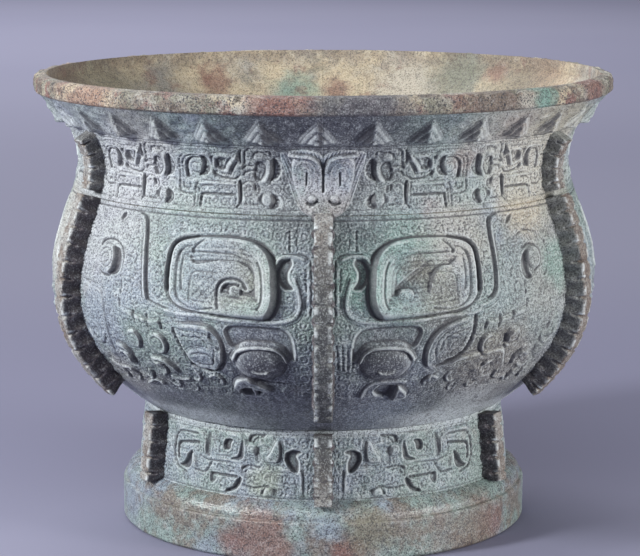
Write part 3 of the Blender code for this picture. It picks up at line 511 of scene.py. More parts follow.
# The dragon on the ring foot
FOOT_DRAGON = {
    "plates": (
        (0.8, ((24.4, 17.4), (22.8, 19.2), (21, 22.8), (19.6, 24.6), (18.6, 23.2), (18.4, 17.8),
               (20, 15.6), (23.6, 15.6))),
    ),
    "domes": (
        ((31.2, 20), (2.4, 2.3), 1.0),
        ((22.8, 3.4), (2.4, 2.2), 0.6),
    ),
    "banks": (
        (0.6, 5.0, ((74, 24.2), (60, 24.6), (55.6, 23), (54.6, 18), (55, 14.6))),
        (0.5, 4.0, ((72, 14.2), (63, 14.4), (60.4, 12), (60, 7.6))),
        (0.5, 4.0, ((50, 14.6), (42, 14.8), (36.4, 13.8), (35.2, 10), (35.8, 5))),
        (0.5, 4.0, ((46, 25.4), (39, 25.8), (35.4, 24), (34.6, 19.6), (35.4, 15.6))),
        (0.4, 4.0, ((20, 12.8), (12, 12.6), (9, 10), (8.8, 2))),
    ),
    "grooves": (
        (0.3, 0.4, ((55.6, 23.2), (55.8, 16))),
        ((0.6, 0.9), 1.3, ((42, 1.8), (39.2, 3), (37.4, 5), (36.4, 7.2))),
        ((0.6, 0.3), 0.9, ((32.2, 23.6), (31.6, 25.4), (29.6, 26.2), (25.4, 26.4))),
        (0.4, 0.8, ((30.8, 23.2), (29.6, 24.8), (26, 26))),
        (0.4, 0.9, ((66, 6.4), (71.4, 8), (74, 12), (74.2, 18.4), (72.4, 22), (68, 23.4), (59.4, 23.6))),
        (0.5, 1.15, ((71, 11.4), (71.6, 14.2), (71.4, 17.2), (69.4, 18.4), (59.4, 19.8))),
        (0.3, 0.5, ((59.4, 19.8), (59.4, 16))),
        (0.3, 0.5, ((59.4, 14.6), (52, 13.4), (42.8, 14), (35.6, 13.4))),
        (0.4, 0.8, ((60.2, 8.2), (54.8, 8), (52, 11), (51.2, 12.6))),
        (0.5, 1.05, ((50.6, 8.2), (42.8, 8), (37.8, 8))),
        (0.4, 0.8, ((35.4, 8.6), (35.2, 11.8), (32.4, 13.2), (27.8, 12.8))),
        (0.3, 0.65, ((34.2, 10.4), (32.8, 11.8), (29.6, 12))),
        (0.4, 0.65, ((35.6, 5), (30, 4.2), (23.6, 5.4))),
        (0.4, 0.8, ((26, 2.2), (25, 4.2), (22.8, 5), (20, 3.6))),
        (0.3, 0.4, ((8.4, 16.4), (8.2, 1.8))),
        (0.3, 0.4, ((11.2, 7.2), (11.2, 1.8))),
        (0.35, 0.5, ((-2, 0.6), (90, 0.6))),
        (0.3, 0.4, ((-2, 26.9), (90, 26.9))),
    ),
    "pits": (
        (1.7, ((15.6, 19.4), (12.4, 20.8), (9.4, 20), (11.6, 18.4), (10.6, 15.6), (10.8, 11.6),
               (13.4, 13), (15.8, 16.4))),
        (0.5, ((28.6, 21), (27, 22), (24.6, 22.4), (23.2, 22), (23.4, 20.4), (25.4, 19.4), (27.4, 18.4),
               (26.8, 16.4), (28.2, 14.2), (29.2, 15.6))),
        (1.4, ((45, 20.8), (44, 22.8), (42.2, 23.4), (40.8, 23), (41.8, 21.6), (42, 19.4), (43.8, 18.8))),
        (1.1, ((35.8, 24.4), (35, 20), (35.4, 16.6), (37, 15.2), (41, 15.2), (37.6, 16.8), (36.6, 20))),
        (0.6, ((53.4, 24.8), (52, 24.6), (52.2, 15.6), (53.6, 14.8), (54.2, 17.4), (53.6, 21))),
        (1.5, ((70.4, 8.6), (67, 10), (64.6, 13), (62.8, 15.8), (62.4, 12), (63.6, 9), (66.8, 7.6))),
        (0.9, ((51.2, 6.8), (50.4, 8), (48.8, 7.8), (48.2, 6.4), (49.4, 4.6), (50.6, 4.2))),
        (0.5, ((27.4, 25.2), (26, 25.4), (25.8, 23.6), (26.8, 23.2))),
    ),
    "rings": (
        *rings(1.6, (16, 4), (16, 8.4), (46, 19), (56, 5), (66, 4.4), (14, 24.4)),
        *rings(1.4, *lattice((5,), (4, 9, 14, 19, 24)), (65, 21), (31, 20), (31, 7.6)),
        *rings(1.4, (46.6, 11), (41, 11)),
        ((57.6, 19), 1.2), ((45, 4.6), 1.5), ((49, 26.6), 1.3),
    ),
}

# Animal head on the neck: outline and lines of its right half
HEAD_OUTLINE = ((0, 133.2), (3, 135.4), (9, 136.2), (15.6, 135.4), (16.8, 133), (14.6, 124), (11.4, 115.4),
                (8.6, 111), (5, 109), (0, 108.4), (-3, 108.4), (-3, 133.2))
HEAD_FACE = ((0, 128), (2, 131.5), (5, 134), (9, 134.4), (12, 131.4), (12.4, 126), (11.6, 121.4),
             (10, 116.5), (8, 112), (5.6, 109), (0, 108.2), (-3, 108.2), (-3, 128))
HEAD_HORNS = (
    (0.6, 2.3, ((0.9, 126.6), (2.2, 131), (5.4, 133.5), (9.4, 134), (13, 134.6))),
    (0.4, 2.1, ((3, 122), (3.2, 127), (4.6, 130.2), (7.4, 131.4), (10, 130.4), (10.8, 127))),
    (0.4, 2.1, ((5, 121), (5, 126), (6.4, 128.6), (8.4, 128), (8.6, 124))),
)
HEAD_SLITS = (
    (0.5, 1.3, ((0, 119), (0, 127.4))),
    (0.45, 0.9, ((6.7, 121.6), (6.5, 126.4))),
    (0.5, 0.9, ((2.6, 114.6), (4.2, 113.4), (6.4, 114))),
)
HEAD_EYE = ((4.4, 115.8), (2.0, 1.8), 2.9)
HEAD_SNOUT = ((0, 111.2), (6.6, 4.6), 2.7)
HEAD_SHADE = 0.3
HEAD_SHINE = 0.2
HEAD_RISE = (0.6, 1.7)
HEAD_EDGE = (1.4, 1.6)
HEAD_SUNK = 1.4
HEAD_RIM = 0.4
# Feathers: level that they spread from, lean, pitch and depth
FEATHER_FOOT = 108
FEATHER_LEAN = 0.34
FEATHER_PITCH = 1.25
FEATHER_DEPTH = 0.4
# Its mesh: half-width, columns, rows as (low, high, spacing), and every so many rows at a depth behind
HEAD_HALF = 18.0
HEAD_COLUMNS = 121
HEAD_ROWS = (107.6, 137.6, 0.3)
HEAD_BACK_STEP = 12
HEAD_BACK = 2.4


def smooth(x):
    """A soft step from 0 to 1."""
    x = np.clip(x, 0.0, 1.0)
    return x * x * (3 - 2 * x)


def curve(points, steps=6):
    """A smooth line through points."""
    p = np.array(points, float)
    p = np.vstack([2 * p[0] - p[1], p, 2 * p[-1] - p[-2]])
    t = np.linspace(0, 1, steps, endpoint=False)[:, None]
    parts = []
    for a, b, c, d in zip(p, p[1:], p[2:], p[3:]):
        square = (a - 2.5 * b + 2 * c - d / 2) * t**2
        cube = (1.5 * (b - c) + (d - a) / 2) * t**3
        parts.append(b + (c - a) / 2 * t + square + cube)
    return np.vstack([*parts, p[-2:-1]])


def nearest(around, up, line):
    """Of each place: distance from a line, share of its length there, and whether it is on its left."""
    best = np.full(np.broadcast(around, up).shape, 1e9)
    share = np.zeros_like(best)
    left = np.zeros(best.shape, bool)
    steps = np.hypot(*np.diff(line, axis=0).T)
    starts = np.concatenate([[0.0], np.cumsum(steps)])
    for a, b, step, start in zip(line, line[1:], steps, starts):
        dx, dy = (b - a) / step
        x, y = around - a[0], up - a[1]
        t = np.clip(x * dx + y * dy, 0, step)
        distance = np.hypot(x - t * dx, y - t * dy)
        closer = distance < best
        best = np.where(closer, distance, best)
        share = np.where(closer, (start + t) / starts[-1], share)
        left = np.where(closer, dx * y > dy * x, left)
    return best, share, left


def inside(around, up, outline):
    """Whether each place is inside a closed outline."""
    found = np.zeros(np.broadcast(around, up).shape, bool)
    for (ax, ay), (bx, by) in zip(outline, np.roll(outline, -1, axis=0)):
        if ay != by:
            crossing = ax + (up - ay) / (by - ay) * (bx - ax)
            found ^= ((ay > up) != (by > up)) & (around < crossing)
    return found


def bumps(up, around, size, seed):
    """Smooth random heights from -1 to 1 with hills of about one size."""
    def cells(places):
        """Number of each place's cell, and a soft share of the way across it."""
        at = (places - places.min()) / size
        return at.astype(int), smooth(at % 1)

    i, ti = cells(up)
    j, tj = cells(around)
    grid = np.random.default_rng(seed).uniform(-1, 1, (i.max() + 2, j.max() + 2))
    low = grid[i][:, j] * (1 - tj) + grid[i][:, j + 1] * tj
    high = grid[i + 1][:, j] * (1 - tj) + grid[i + 1][:, j + 1] * tj
    return low + (high - low) * ti[:, None]


def layered(layers, up, around, turn=0):
    """Layers of bumps, as (height, hill size, seed), laid over one another."""
    return sum(height * bumps(up, around, size, seed + turn) for height, size, seed in layers)


def blurred(values, reach):
    """Box blur, twice over, on a grid."""
    for axis in (0, 1, 0, 1):
        pad = [(reach + 1, reach) if a == axis else (0, 0) for a in (0, 1)]
        total = np.cumsum(np.pad(values, pad, mode="edge"), axis=axis)
        size = total.shape[axis]
        ahead = np.take(total, range(2 * reach + 1, size), axis=axis)
        values = (ahead - np.take(total, range(size - 2 * reach - 1), axis=axis)) / (2 * reach + 1)
    return values


class Panel:
    """Heights off the plain wall over an unrolled panel, drawn form by form."""

    def __init__(self, around, up):
        self.around = around
        self.up = up
        self.height = np.zeros((len(up), len(around)))
        self.gap = np.full(self.height.shape, FAR_OFF)

    def window(self, line, reach):
        """The part of the panel near a line: its slices and its places."""
        low = line.min(axis=0) - reach
        high = line.max(axis=0) + reach
        rows = slice(*np.searchsorted(self.up, (low[1], high[1])))
        columns = slice(*np.searchsorted(self.around, (low[0], high[0])))
        return (rows, columns), self.around[None, columns], self.up[rows, None]

    def near(self, part, gap):
        """Notes how far places lie from a form; ground lines run along it and stay off it."""
        self.gap[part] = np.minimum(self.gap[part], gap)

    def put(self, part, form, gap):
        """Raises the panel to a form where the form is higher, and marks what lies near it."""
        self.height[part] = np.where(form > 0.02, np.maximum(self.height[part], form), self.height[part])
        self.near(part, gap)

    def ridge(self, half, height, points, edge=0.7):
        """A raised band along a smooth line."""
        line = curve(points)
        part, around, up = self.window(line, 4)
        distance, share, _ = nearest(around, up, line)
        depth = between(half, share) - distance
        self.put(part, between(height, share) * smooth(depth / edge + 0.5), -depth)

    def within(self, points, reach):
        """How deep each place lies inside a smooth closed outline."""
        outline = curve((*points, points[0]))
        part, around, up = self.window(outline, reach)
        distance = nearest(around, up, outline)[0]
        return part, np.where(inside(around, up, outline[:-1]), distance, -distance)

    def plate(self, height, points, edge=0.8):
        """A raised field inside a smooth outline."""
        part, depth = self.within(points, 4)
        self.put(part, height * smooth(depth / edge + 0.5), -depth)

    def pit(self, sunk, points, edge=0.8):
        """A hollow inside a smooth outline."""
        part, depth = self.within(points, 3)
        self.height[part] -= sunk * smooth(depth / edge + 0.5)
        self.near(part, -depth)

    def cover(self, points):
        """Keeps the inside of an outline free of ground lines."""
        part, depth = self.within(points, 3)
        self.near(part, -depth)

    def dome(self, centre, radii, height, power=2.4, shoulder=0.5):
        """A raised egg; the lower its shoulder, the fuller it is."""
        part, around, up = self.window(np.array([centre], float), max(radii) + 2)
        across = np.abs((around - centre[0]) / radii[0])
        along = np.abs((up - centre[1]) / radii[1])
        spread = across**power + along**power
        self.put(part, height * np.clip(1 - spread, 0, 1) ** shoulder, (spread - 1) * min(radii) / 2)

    def bowl(self, centre, radii, depth):
        """A soft round hollow."""
        part, around, up = self.window(np.array([centre], float), max(radii))
        spread = np.hypot((around - centre[0]) / radii[0], (up - centre[1]) / radii[1])
        self.height[part] -= depth * smooth(1 - spread)

    def groove(self, half, depth, points, edge=0.8):
        """A groove along a smooth line."""
        line = curve(points)
        part, around, up = self.window(line, 4)
        distance, share, _ = nearest(around, up, line)
        inner = between(half, share) - distance
        self.height[part] -= depth * smooth(inner / edge + 0.5)
        self.near(part, -inner)

    def slope(self, height, reach, points, edge=0.6):
        """A bank, or a scoop of negative height: steep on the right of a line, fading out on its left."""
        line = curve(points)
        part, around, up = self.window(line, reach + 1)
        distance, share, left = nearest(around, up, line)
        ends = smooth(np.minimum(share, 1 - share) * 6)
        self.height[part] += height * ends * (1 - smooth(distance / np.where(left, reach, edge)))
        self.near(part, distance)

    def ground(self, low, high):
        """Fine lines between the forms: along their edges, and square spirals further off."""
        x = (self.around / CELL_AROUND) % 1 * 2 - 1
        y = ((self.up - low) / CELL_UP) % 1 * 2 - 1
        odd_column = (self.around // CELL_AROUND % 2)[None, :]
        odd_row = ((self.up - low) // CELL_UP % 2)[:, None]
        turn = np.where(odd_column == odd_row, 1, -1)
        square = (np.abs(x[None, :]) ** 3 + np.abs(y[:, None]) ** 3) ** (1 / 3)
        angle = np.arctan2(y[:, None], x[None, :]) / (2 * math.pi)
        spiral = np.cos(2 * math.pi * (square * SPIRAL_TURNS + turn * angle))
        along = -np.cos(2 * math.pi * self.gap / LINE_PITCH)
        lines = np.where(self.gap < 1.5 * LINE_PITCH, along, spiral)
        above = smooth((self.up - low) / LINE_EDGE)[:, None]
        below = smooth((high - self.up) / LINE_EDGE)[:, None]
        free = smooth(self.gap / LINE_EDGE) * above * below
        self.height += LINE_DEPTH * (np.clip(1.5 * lines, -1, 1) - 1) / 2 * free


def moved(line, step):
    """A line shifted along the wall."""
    return tuple((around + step, up) for around, up in line)


def raise_forms(panel, motif, step=0.0):
    """The raised parts of a motif."""
    for height, outline in motif.get("plates", ()):
        panel.plate(height, moved(outline, step))
    for half, height, line in motif.get("ridges", ()):
        panel.ridge(half, height, moved(line, step))
    for height, reach, line in motif.get("banks", ()):
        panel.slope(height, reach, moved(line, step))
    for centre, radii, height in motif.get("domes", ()):
        panel.dome(*moved((centre,), step), radii, height)


def sink_hollows(panel, motif, step=0.0):
    """The sunk parts of a motif."""
    for centre, radii, depth in motif.get("bowls", ()):
        panel.bowl(*moved((centre,), step), radii, depth)
    for half, depth, line in motif["grooves"]:
        panel.groove(half, depth, moved(line, step))
    for depth, outline in motif["pits"]:
        panel.pit(depth, moved(outline, step))
    for centre, radius in motif["rings"]:
        panel.groove(*RING_LINE, arc(*moved((centre,), step), radius, RING_TURN, 9))


def carve_curl(panel, centre, radius, height, turn):
    """A hooked curl with a spiral line, and a dark crescent on its side towards the front."""
    hook = (turn + 0.2 * math.pi, turn + 1.5 * math.pi)
    spiral = (turn, turn + 2.4 * math.pi)
    crescent = (turn + 0.7 * math.pi, turn + 1.35 * math.pi)
    panel.slope(height, radius, arc(centre, radius, hook, 10))
    panel.groove(0.3, 0.4, arc(centre, (0.75 * radius, 0.15 * radius), spiral, 12))
    panel.groove((0.3, 0.5), 0.55, arc(centre, 1.1 * radius, crescent, 6))


def carve_horn(panel):
    """A horn: a crest along its outer edge that falls to a scooped, finely lined middle."""
    outline = curve((*HORN, HORN[0]))
    line = outline[:, :2]
    part, around, up = panel.window(line, 4)
    distance, share, _ = nearest(around, up, line)
    depth = np.where(inside(around, up, line[:-1]), distance, -distance)
    steps = np.hypot(*np.diff(line, axis=0).T)
    crest = np.interp(share, np.concatenate([[0.0], np.cumsum(steps)]) / steps.sum(), outline[:, 2])
    scoop = smooth((depth - HORN_RIM) / HORN_SCOOP)
    form = smooth(depth / (1.0 + 0.8 * crest) + 0.35) * (crest * (1 - scoop) - HORN_SUNK * scoop)
    lined = smooth((depth - HORN_RIM) / HORN_LINE_FADE)
    lined *= smooth((HORN_RIM + HORN_SCOOP - depth) / HORN_LINE_FADE)
    form -= HORN_LINE * (1 - np.cos(2 * math.pi * depth / HORN_PITCH)) * lined
    panel.height[part] = np.where(depth > 0.5, form, np.maximum(panel.height[part], form))
    panel.height[part] -= HORN_GROOVE * smooth(1 - np.abs(depth + 0.5))
    panel.near(part, np.where(depth > HORN_RIM + HORN_SCOOP, FAR_OFF, -depth))


def carve_mask(panel, half):
    """Half a mask: horn, back, ear, nose, eye, leaf, mouth and curls over a spiral ground."""
    carve_horn(panel)
    field = LEFT_FIELD if half is LEFT_HALF else RIGHT_FIELD
    panel.plate(HORN_FIELD_HEIGHT, field, HORN_FIELD_EDGE)
    for motif in (MASK, half):
        raise_forms(panel, motif)
    panel.dome(*EYE)
    panel.ridge(*EYE_LID)
    panel.cover(BROW)
    for _, outline in MASK["pits"] + half["pits"]:
        panel.cover(outline)
    panel.ground(ORNAMENT_FOOT, MASK_TOP)
    for curl in CURLS:
        carve_curl(panel, *curl)
    panel.pit(BROW_DEPTH, BROW, BROW_EDGE)
    for motif in (MASK, half):
        sink_hollows(panel, motif)
    panel.ridge(*EYE_SLIT)
    if half is LEFT_HALF:
        panel.ridge(*LEFT_FANG)


def carve_dragons(panel):
    """Two dragons of the neck band that face the animal head, between plain borders."""
    for step in (0.0, DRAGON_STEP):
        raise_forms(panel, NECK_DRAGON, step)
    panel.ground(*NECK_GROUND)
    for step in (0.0, DRAGON_STEP):
        sink_hollows(panel, NECK_DRAGON, step)
    for level in NECK_BORDERS:
        panel.groove(*BORDER_LINE, ((NECK_ENDS[0], level), (NECK_ENDS[1], level)))


def carve_blades(panel, azimuths):
    """Upright blades under the lip, each like a steep roof with an inner line, at their own azimuths."""
    pitch = 2 * math.pi / BLADES
    turn = (azimuths - BLADE_START + pitch / 2) % pitch - pitch / 2
    across = np.abs(turn * NECK_PANEL_RADIUS)[None, :]
    widest = BLADE_SHARE * pitch * NECK_PANEL_RADIUS
    half = widest * np.clip((BLADE_TIP - panel.up) / (BLADE_TIP - BLADE_BASE), 0.001, 1)[:, None]
    foot = smooth((panel.up - BLADE_BASE) / BLADE_PEAK)[:, None]
    roof = BLADE_RIDGE * np.clip(half - across, 0, None) / widest
    edge = BLADE_EDGE[0] * smooth((half - across) / BLADE_EDGE[1])
    off_line = np.abs((half - across) % BLADE_LINE - 0.5 * BLADE_LINE)
    line = BLADE_GROOVE[0] * smooth(1 - off_line / BLADE_GROOVE[1])
    return foot * (edge + roof - line * (half > across))


def carve_foot(panel):
    """The dragon of the ring foot over its ground."""
    raise_forms(panel, FOOT_DRAGON)
    for _, outline in FOOT_DRAGON["pits"]:
        panel.cover(outline)
    panel.ground(*FOOT_GROUND)
    sink_hollows(panel, FOOT_DRAGON)


def carve_head(panel):
    """An animal head: feathered sides, a raised face with ringed horns, eyes and a blunt snout."""
    across = np.abs(panel.around)
    half = Panel(np.unique(across), panel.up)
    half.plate(HEAD_RISE[0], HEAD_OUTLINE, HEAD_EDGE[0])
    shield = half.height.copy()
    lean = (half.up - FEATHER_FOOT)[:, None] * FEATHER_LEAN
    feathers = np.cos(2 * math.pi * (half.around[None, :] - lean) / FEATHER_PITCH)
    half.height -= FEATHER_DEPTH * (1 - feathers) / 2 * smooth(shield / HEAD_RIM)
    half.plate(HEAD_RISE[1], HEAD_FACE, HEAD_EDGE[1])
    for horn in HEAD_HORNS:
        half.ridge(*horn)
    half.dome(*HEAD_SNOUT)
    half.dome(*HEAD_EYE)
    for slit in HEAD_SLITS:
        half.groove(*slit)
    sunk = HEAD_SUNK * (1 - smooth(shield / HEAD_RIM))
    panel.height = (half.height - sunk)[:, np.searchsorted(half.around, across)]


class Line:
    """A rising line of (radius, level) points, met by its length."""

    def __init__(self, points):
        self.points = np.array(points, float)
        steps = np.hypot(*np.diff(self.points, axis=0).T)
        self.length = np.concatenate([[0.0], np.cumsum(steps)])

    def at(self, up):
        """Points at given lengths along the line."""
        return np.stack([np.interp(up, self.length, self.points[:, axis]) for axis in (0, 1)], axis=-1)

    def rows(self, up, depth=0.0):
        """Places with their normals, or at a depth inside the wall with the normals turned inwards."""
        along = self.at(np.minimum(up + 0.6, self.length[-1])) - self.at(np.maximum(up - 0.6, 0))
        along /= np.hypot(*along.T)[:, None]
        normal = np.stack([along[:, 1], -along[:, 0]], axis=-1)
        if depth:
            return np.hstack([self.at(up) - depth * normal, -normal])
        return np.hstack([self.at(up), normal])


def bezier(a, b, c, d, count=60):
    """Points of a curve from a to d, drawn towards b and c."""
    t = np.linspace(0, 1, count)[:, None]
    a, b, c, d = (np.array(p, float) for p in (a, b, c, d))
    return (1 - t) ** 3 * a + 3 * t * (1 - t) ** 2 * b + 3 * t * t * (1 - t) * c + t**3 * d


def bowl_line():
    """Outer face of the bowl from the foot up to the lip."""
    joint = (JOINT_RADIUS, JOINT_LEVEL)
    lip = (RIM_RADIUS - LIP_UNDERCUT, LIP_LEVEL)
    lower = bezier(joint, (joint[0] + JOINT_REACH[0], joint[1] + JOINT_REACH[1]),
                   (BELLY_RADIUS, BELLY_LEVEL - BELLY_HANDLES[0]), (BELLY_RADIUS, BELLY_LEVEL))
    shoulder = bezier((BELLY_RADIUS, BELLY_LEVEL), (BELLY_RADIUS, BELLY_LEVEL + BELLY_HANDLES[1]),
                      (NECK_RADIUS, NECK_LEVEL - NECK_HANDLES[0]), (NECK_RADIUS, NECK_LEVEL))
    flare = bezier((NECK_RADIUS, NECK_LEVEL), (NECK_RADIUS, NECK_LEVEL + NECK_HANDLES[1]),
                   (lip[0] - FLARE_REACH, lip[1] - FLARE_REACH), lip)
    return Line(np.vstack([lower, shoulder[1:], flare[1:]]))


BOWL_LINE = bowl_line()
FOOT_LINE = Line(((FOOT_LOW_RADIUS, FOOT_LOW_LEVEL), (FOOT_TOP_RADIUS, FOOT_TOP_LEVEL)))


def path_rows(points, spacing):
    """Rows along a bent path with their normals, for the plain mouldings."""
    path = Line(points)
    count = max(2, round(path.length[-1] / spacing))
    return path.rows(np.linspace(0, path.length[-1], count))


def wrap(rows, azimuths, lift):
    """Rows of (radius, level, normal) carried round the axis, lifted along their normals."""
    radius = rows[:, 0, None] + rows[:, 2, None] * lift
    level = rows[:, 1, None] + rows[:, 3, None] * lift
    return np.stack([radius * np.sin(azimuths), -radius * np.cos(azimuths), level + 0 * azimuths], axis=-1)


def shown(name, data):
    """A new object in the scene."""
    thing = bpy.data.objects.new(name, data)
    bpy.context.scene.collection.objects.link(thing)
    return thing


def tube_mesh(name, points):
    """A closed mesh from a grid of places: joined round its rows, capped at its first and last column."""
    rows, columns = points.shape[:2]
    index = np.arange(rows * columns).reshape(rows, columns)
    after = np.roll(index, -1, axis=0)
    quads = np.stack([index[:, :-1], index[:, 1:], after[:, 1:], after[:, :-1]], axis=-1).reshape(-1, 4)
    corners = np.concatenate([quads.ravel(), index[:, 0], index[::-1, -1]])
    starts = np.concatenate([np.arange(len(quads)) * 4, [quads.size, quads.size + rows]])
    mesh = bpy.data.meshes.new(name)
    mesh.vertices.add(index.size)
    mesh.vertices.foreach_set("co", (points * MM).astype(np.float32).ravel())
    mesh.loops.add(len(corners))
    mesh.loops.foreach_set("vertex_index", corners.astype(np.int32))
    mesh.polygons.add(len(starts))
    mesh.polygons.foreach_set("loop_start", starts.astype(np.int32))
    mesh.update(calc_edges=True)
    flat = np.zeros(len(starts), bool)
    flat[-2:] = True
    mesh.polygons.foreach_set("use_smooth", ~flat)
    return mesh


def tube(name, points, values, materials, kinds=None):
    """A closed solid with marks at its places; kinds says which of its materials each row has."""
    rows, columns = points.shape[:2]
    mesh = tube_mesh(name, points)
    for material in materials:
        mesh.materials.append(material)
    if kinds is not None:
        per_face = np.concatenate([np.repeat(kinds, columns - 1), [0, 0]])
        mesh.polygons.foreach_set("material_index", per_face.astype(np.int32))
    for key, grid in values.items():
        layer = mesh.attributes.new(key, "FLOAT", "POINT")
        layer.data.foreach_set("value", grid.astype(np.float32).ravel())
    add_uv(mesh, rows, columns)
    return shown(name, mesh)


def add_uv(mesh, rows, columns):
    """Unrolled map of a tube: the grid on the left, the two caps as small rounds on the right."""
    i, j = np.meshgrid(np.arange(rows), np.arange(columns - 1), indexing="ij")
    u = np.stack([j, j + 1, j + 1, j], axis=-1) / (columns - 1) * 0.95
    v = np.stack([i, i, i + 1, i + 1], axis=-1) / rows
    turn = np.linspace(0, 2 * math.pi, rows, endpoint=False)
    grid = np.stack([u.ravel(), v.ravel()], axis=-1)
    caps = []
    for at in (0, 0.1):
        caps.append(np.stack([0.975 + 0.02 * np.cos(turn), 0.1 + at + 0.02 * np.sin(turn)], axis=-1))
    layer = mesh.uv_layers.new(name="OFBake")
    layer.data.foreach_set("uv", np.vstack([grid, *caps]).astype(np.float32).ravel())


def place(thing, node):
    """Puts a piece on the body in place of a node."""
    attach(thing, "root")
    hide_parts(node)


def wear_and_shade_marks(height, hand=1):
    """How far places stand above close and wider surroundings, and how steeply they face the front; wear,
    painted highlight and painted shade are drawn from these.
    """
    rise = hand * np.gradient(blurred(height, 1), GRID, axis=1)
    return {"edge": height - blurred(height, 2), "relief": height - blurred(height, 9), "front": rise}


def padded(marks, shape, first=0):
    """Marks of the carved rows from row first, with nothing on a piece's other rows."""
    values = {key: np.zeros(shape) for key in marks}
    for key, carved_rows in marks.items():
        values[key][first:first + len(carved_rows)] = carved_rows
    return values


def sector_azimuths(k, columns):
    """Azimuths of the columns of sector k."""
    return (k + np.linspace(0, 1, columns)) * SECTOR_ANGLE


def columns_for(radius):
    """Places along one sixth of a wall."""
    return np.linspace(0, SECTOR_ANGLE * radius, round(SECTOR_ANGLE * radius / GRID) + 1)


def border_fade(around):
    """0 at both edges of a sector and 1 further in, so that neighbours meet smoothly."""
    return smooth(np.minimum(around - around[0], around[-1] - around) / SEAM_FADE)


def worn_rows(up, low, rise, high, fall):
    """How rough each row is: smooth below low and above high."""
    return smooth((up - low) / rise)[:, None] * smooth((high - up) / fall)[:, None]


def add_sector(wall, k, panel, height, rows, plain, kinds, materials, first=0, worn=0.0):
    """One sixth of a wall. The carved rows start at row first; plain gives the other rows' heights, kinds
    each row's material, and worn how rough each carved row is."""
    name, node, slot = wall
    lift = plain.copy()
    rough = layered(WALL_BUMPS, panel.up, panel.around, k)
    rough += worn * layered(WORN_BUMPS, panel.up, panel.around, k)
    rough *= border_fade(panel.around)
    lift[first:first + len(panel.up)] = height + rough
    values = padded(wear_and_shade_marks(height, -1 if k % 2 else 1), lift.shape, first)
    points = wrap(rows, sector_azimuths(k, len(panel.around)), lift)
    place(tube(f"{name}_{k + 1}", points, values, materials, kinds), node)


def facing(height, k):
    """A panel's heights as they lie in sector k: every other sector is the left half of its mask."""
    return height[:, ::-1] if k % 2 else height


def add_belly(materials):
    """The belly's walls, each with half a mask."""
    carved_from = ORNAMENT_FOOT - PLAIN_MARGIN
    up = np.concatenate([np.arange(0, carved_from, PLAIN_GRID), np.arange(carved_from, BELLY_TOP, GRID)])
    down = np.arange(BELLY_TOP, 0, -INSIDE_GRID)
    panels = []
    for half in (RIGHT_HALF, LEFT_HALF):
        panels.append(Panel(columns_for(BELLY_PANEL_RADIUS), up))
        carve_mask(panels[-1], half)
    rows = np.vstack([BOWL_LINE.rows(up), BOWL_LINE.rows(down, BOWL_WALL)])
    plain = np.zeros((len(rows), len(panels[0].around)))
    kinds = np.concatenate([np.zeros(len(up)), np.ones(len(down))])
    worn = worn_rows(up, *BELLY_WORN)
    for k in range(SECTORS):
        panel = panels[k % 2]
        height = facing(panel.height, k)
        add_sector(BELLY_WALL, k, panel, height, rows, plain, kinds, materials, worn=worn)


def lip_rows():
    """Rim from under the lip, round its edge and over its top to the inside."""
    return path_rows([(RIM_RADIUS - inset, level) for inset, level in LIP_POINTS], LIP_SPACING)


def lip_damage(azimuths, count):
    """How far the rim is eaten back: broad waves, small pits and chips."""
    up = np.arange(count) * LIP_SPACING
    around = azimuths * RIM_RADIUS
    eaten = LIP_EATEN + layered(LIP_BUMPS, up, around) * border_fade(around)
    upper = smooth((up - CHIP_START) / CHIP_START)[:, None]
    for degrees, half, depth in LIP_CHIPS:
        away = np.abs(azimuths - math.radians(degrees)) * RIM_RADIUS
        eaten += depth * smooth(1.4 - away / half) * upper
    fade = smooth(up / LIP_FADE) * smooth((up[-1] - up) / LIP_FADE)
    return -np.clip(eaten, 0, None) * fade[:, None]


def add_neck(materials):
    """The neck's walls with their dragons and blades, and the lip."""
    up = np.arange(BELLY_TOP, BOWL_LINE.length[-1], GRID)
    down = np.arange(BOWL_LINE.length[-1] - 1, BELLY_TOP - 0.1, -INSIDE_GRID / 2)
    panel = Panel(columns_for(NECK_PANEL_RADIUS), up)
    carve_dragons(panel)
    lip = lip_rows()
    rows = np.vstack([BOWL_LINE.rows(up), lip, BOWL_LINE.rows(down, BOWL_WALL)])
    kinds = np.concatenate([np.zeros(len(up)), np.full(len(lip) - 1, 2), np.ones(len(down) + 1)])
    columns = len(panel.around)
    round_rim = np.linspace(0, 2 * math.pi, SECTORS * (columns - 1) + 1)
    damage = lip_damage(round_rim, len(lip))
    worn = worn_rows(up, *NECK_WORN, BOWL_LINE.length[-1], NECK_WORN_FADE)
    for k in range(SECTORS):
        plain = np.zeros((len(rows), columns))
        plain[len(up):len(up) + len(lip)] = damage[:, k * (columns - 1):(k + 1) * (columns - 1) + 1]
        height = NECK_WEAR[k] * facing(panel.height, k) + carve_blades(panel, sector_azimuths(k, columns))
        add_sector(NECK_WALL, k, panel, height, rows, plain, kinds, materials, worn=worn)


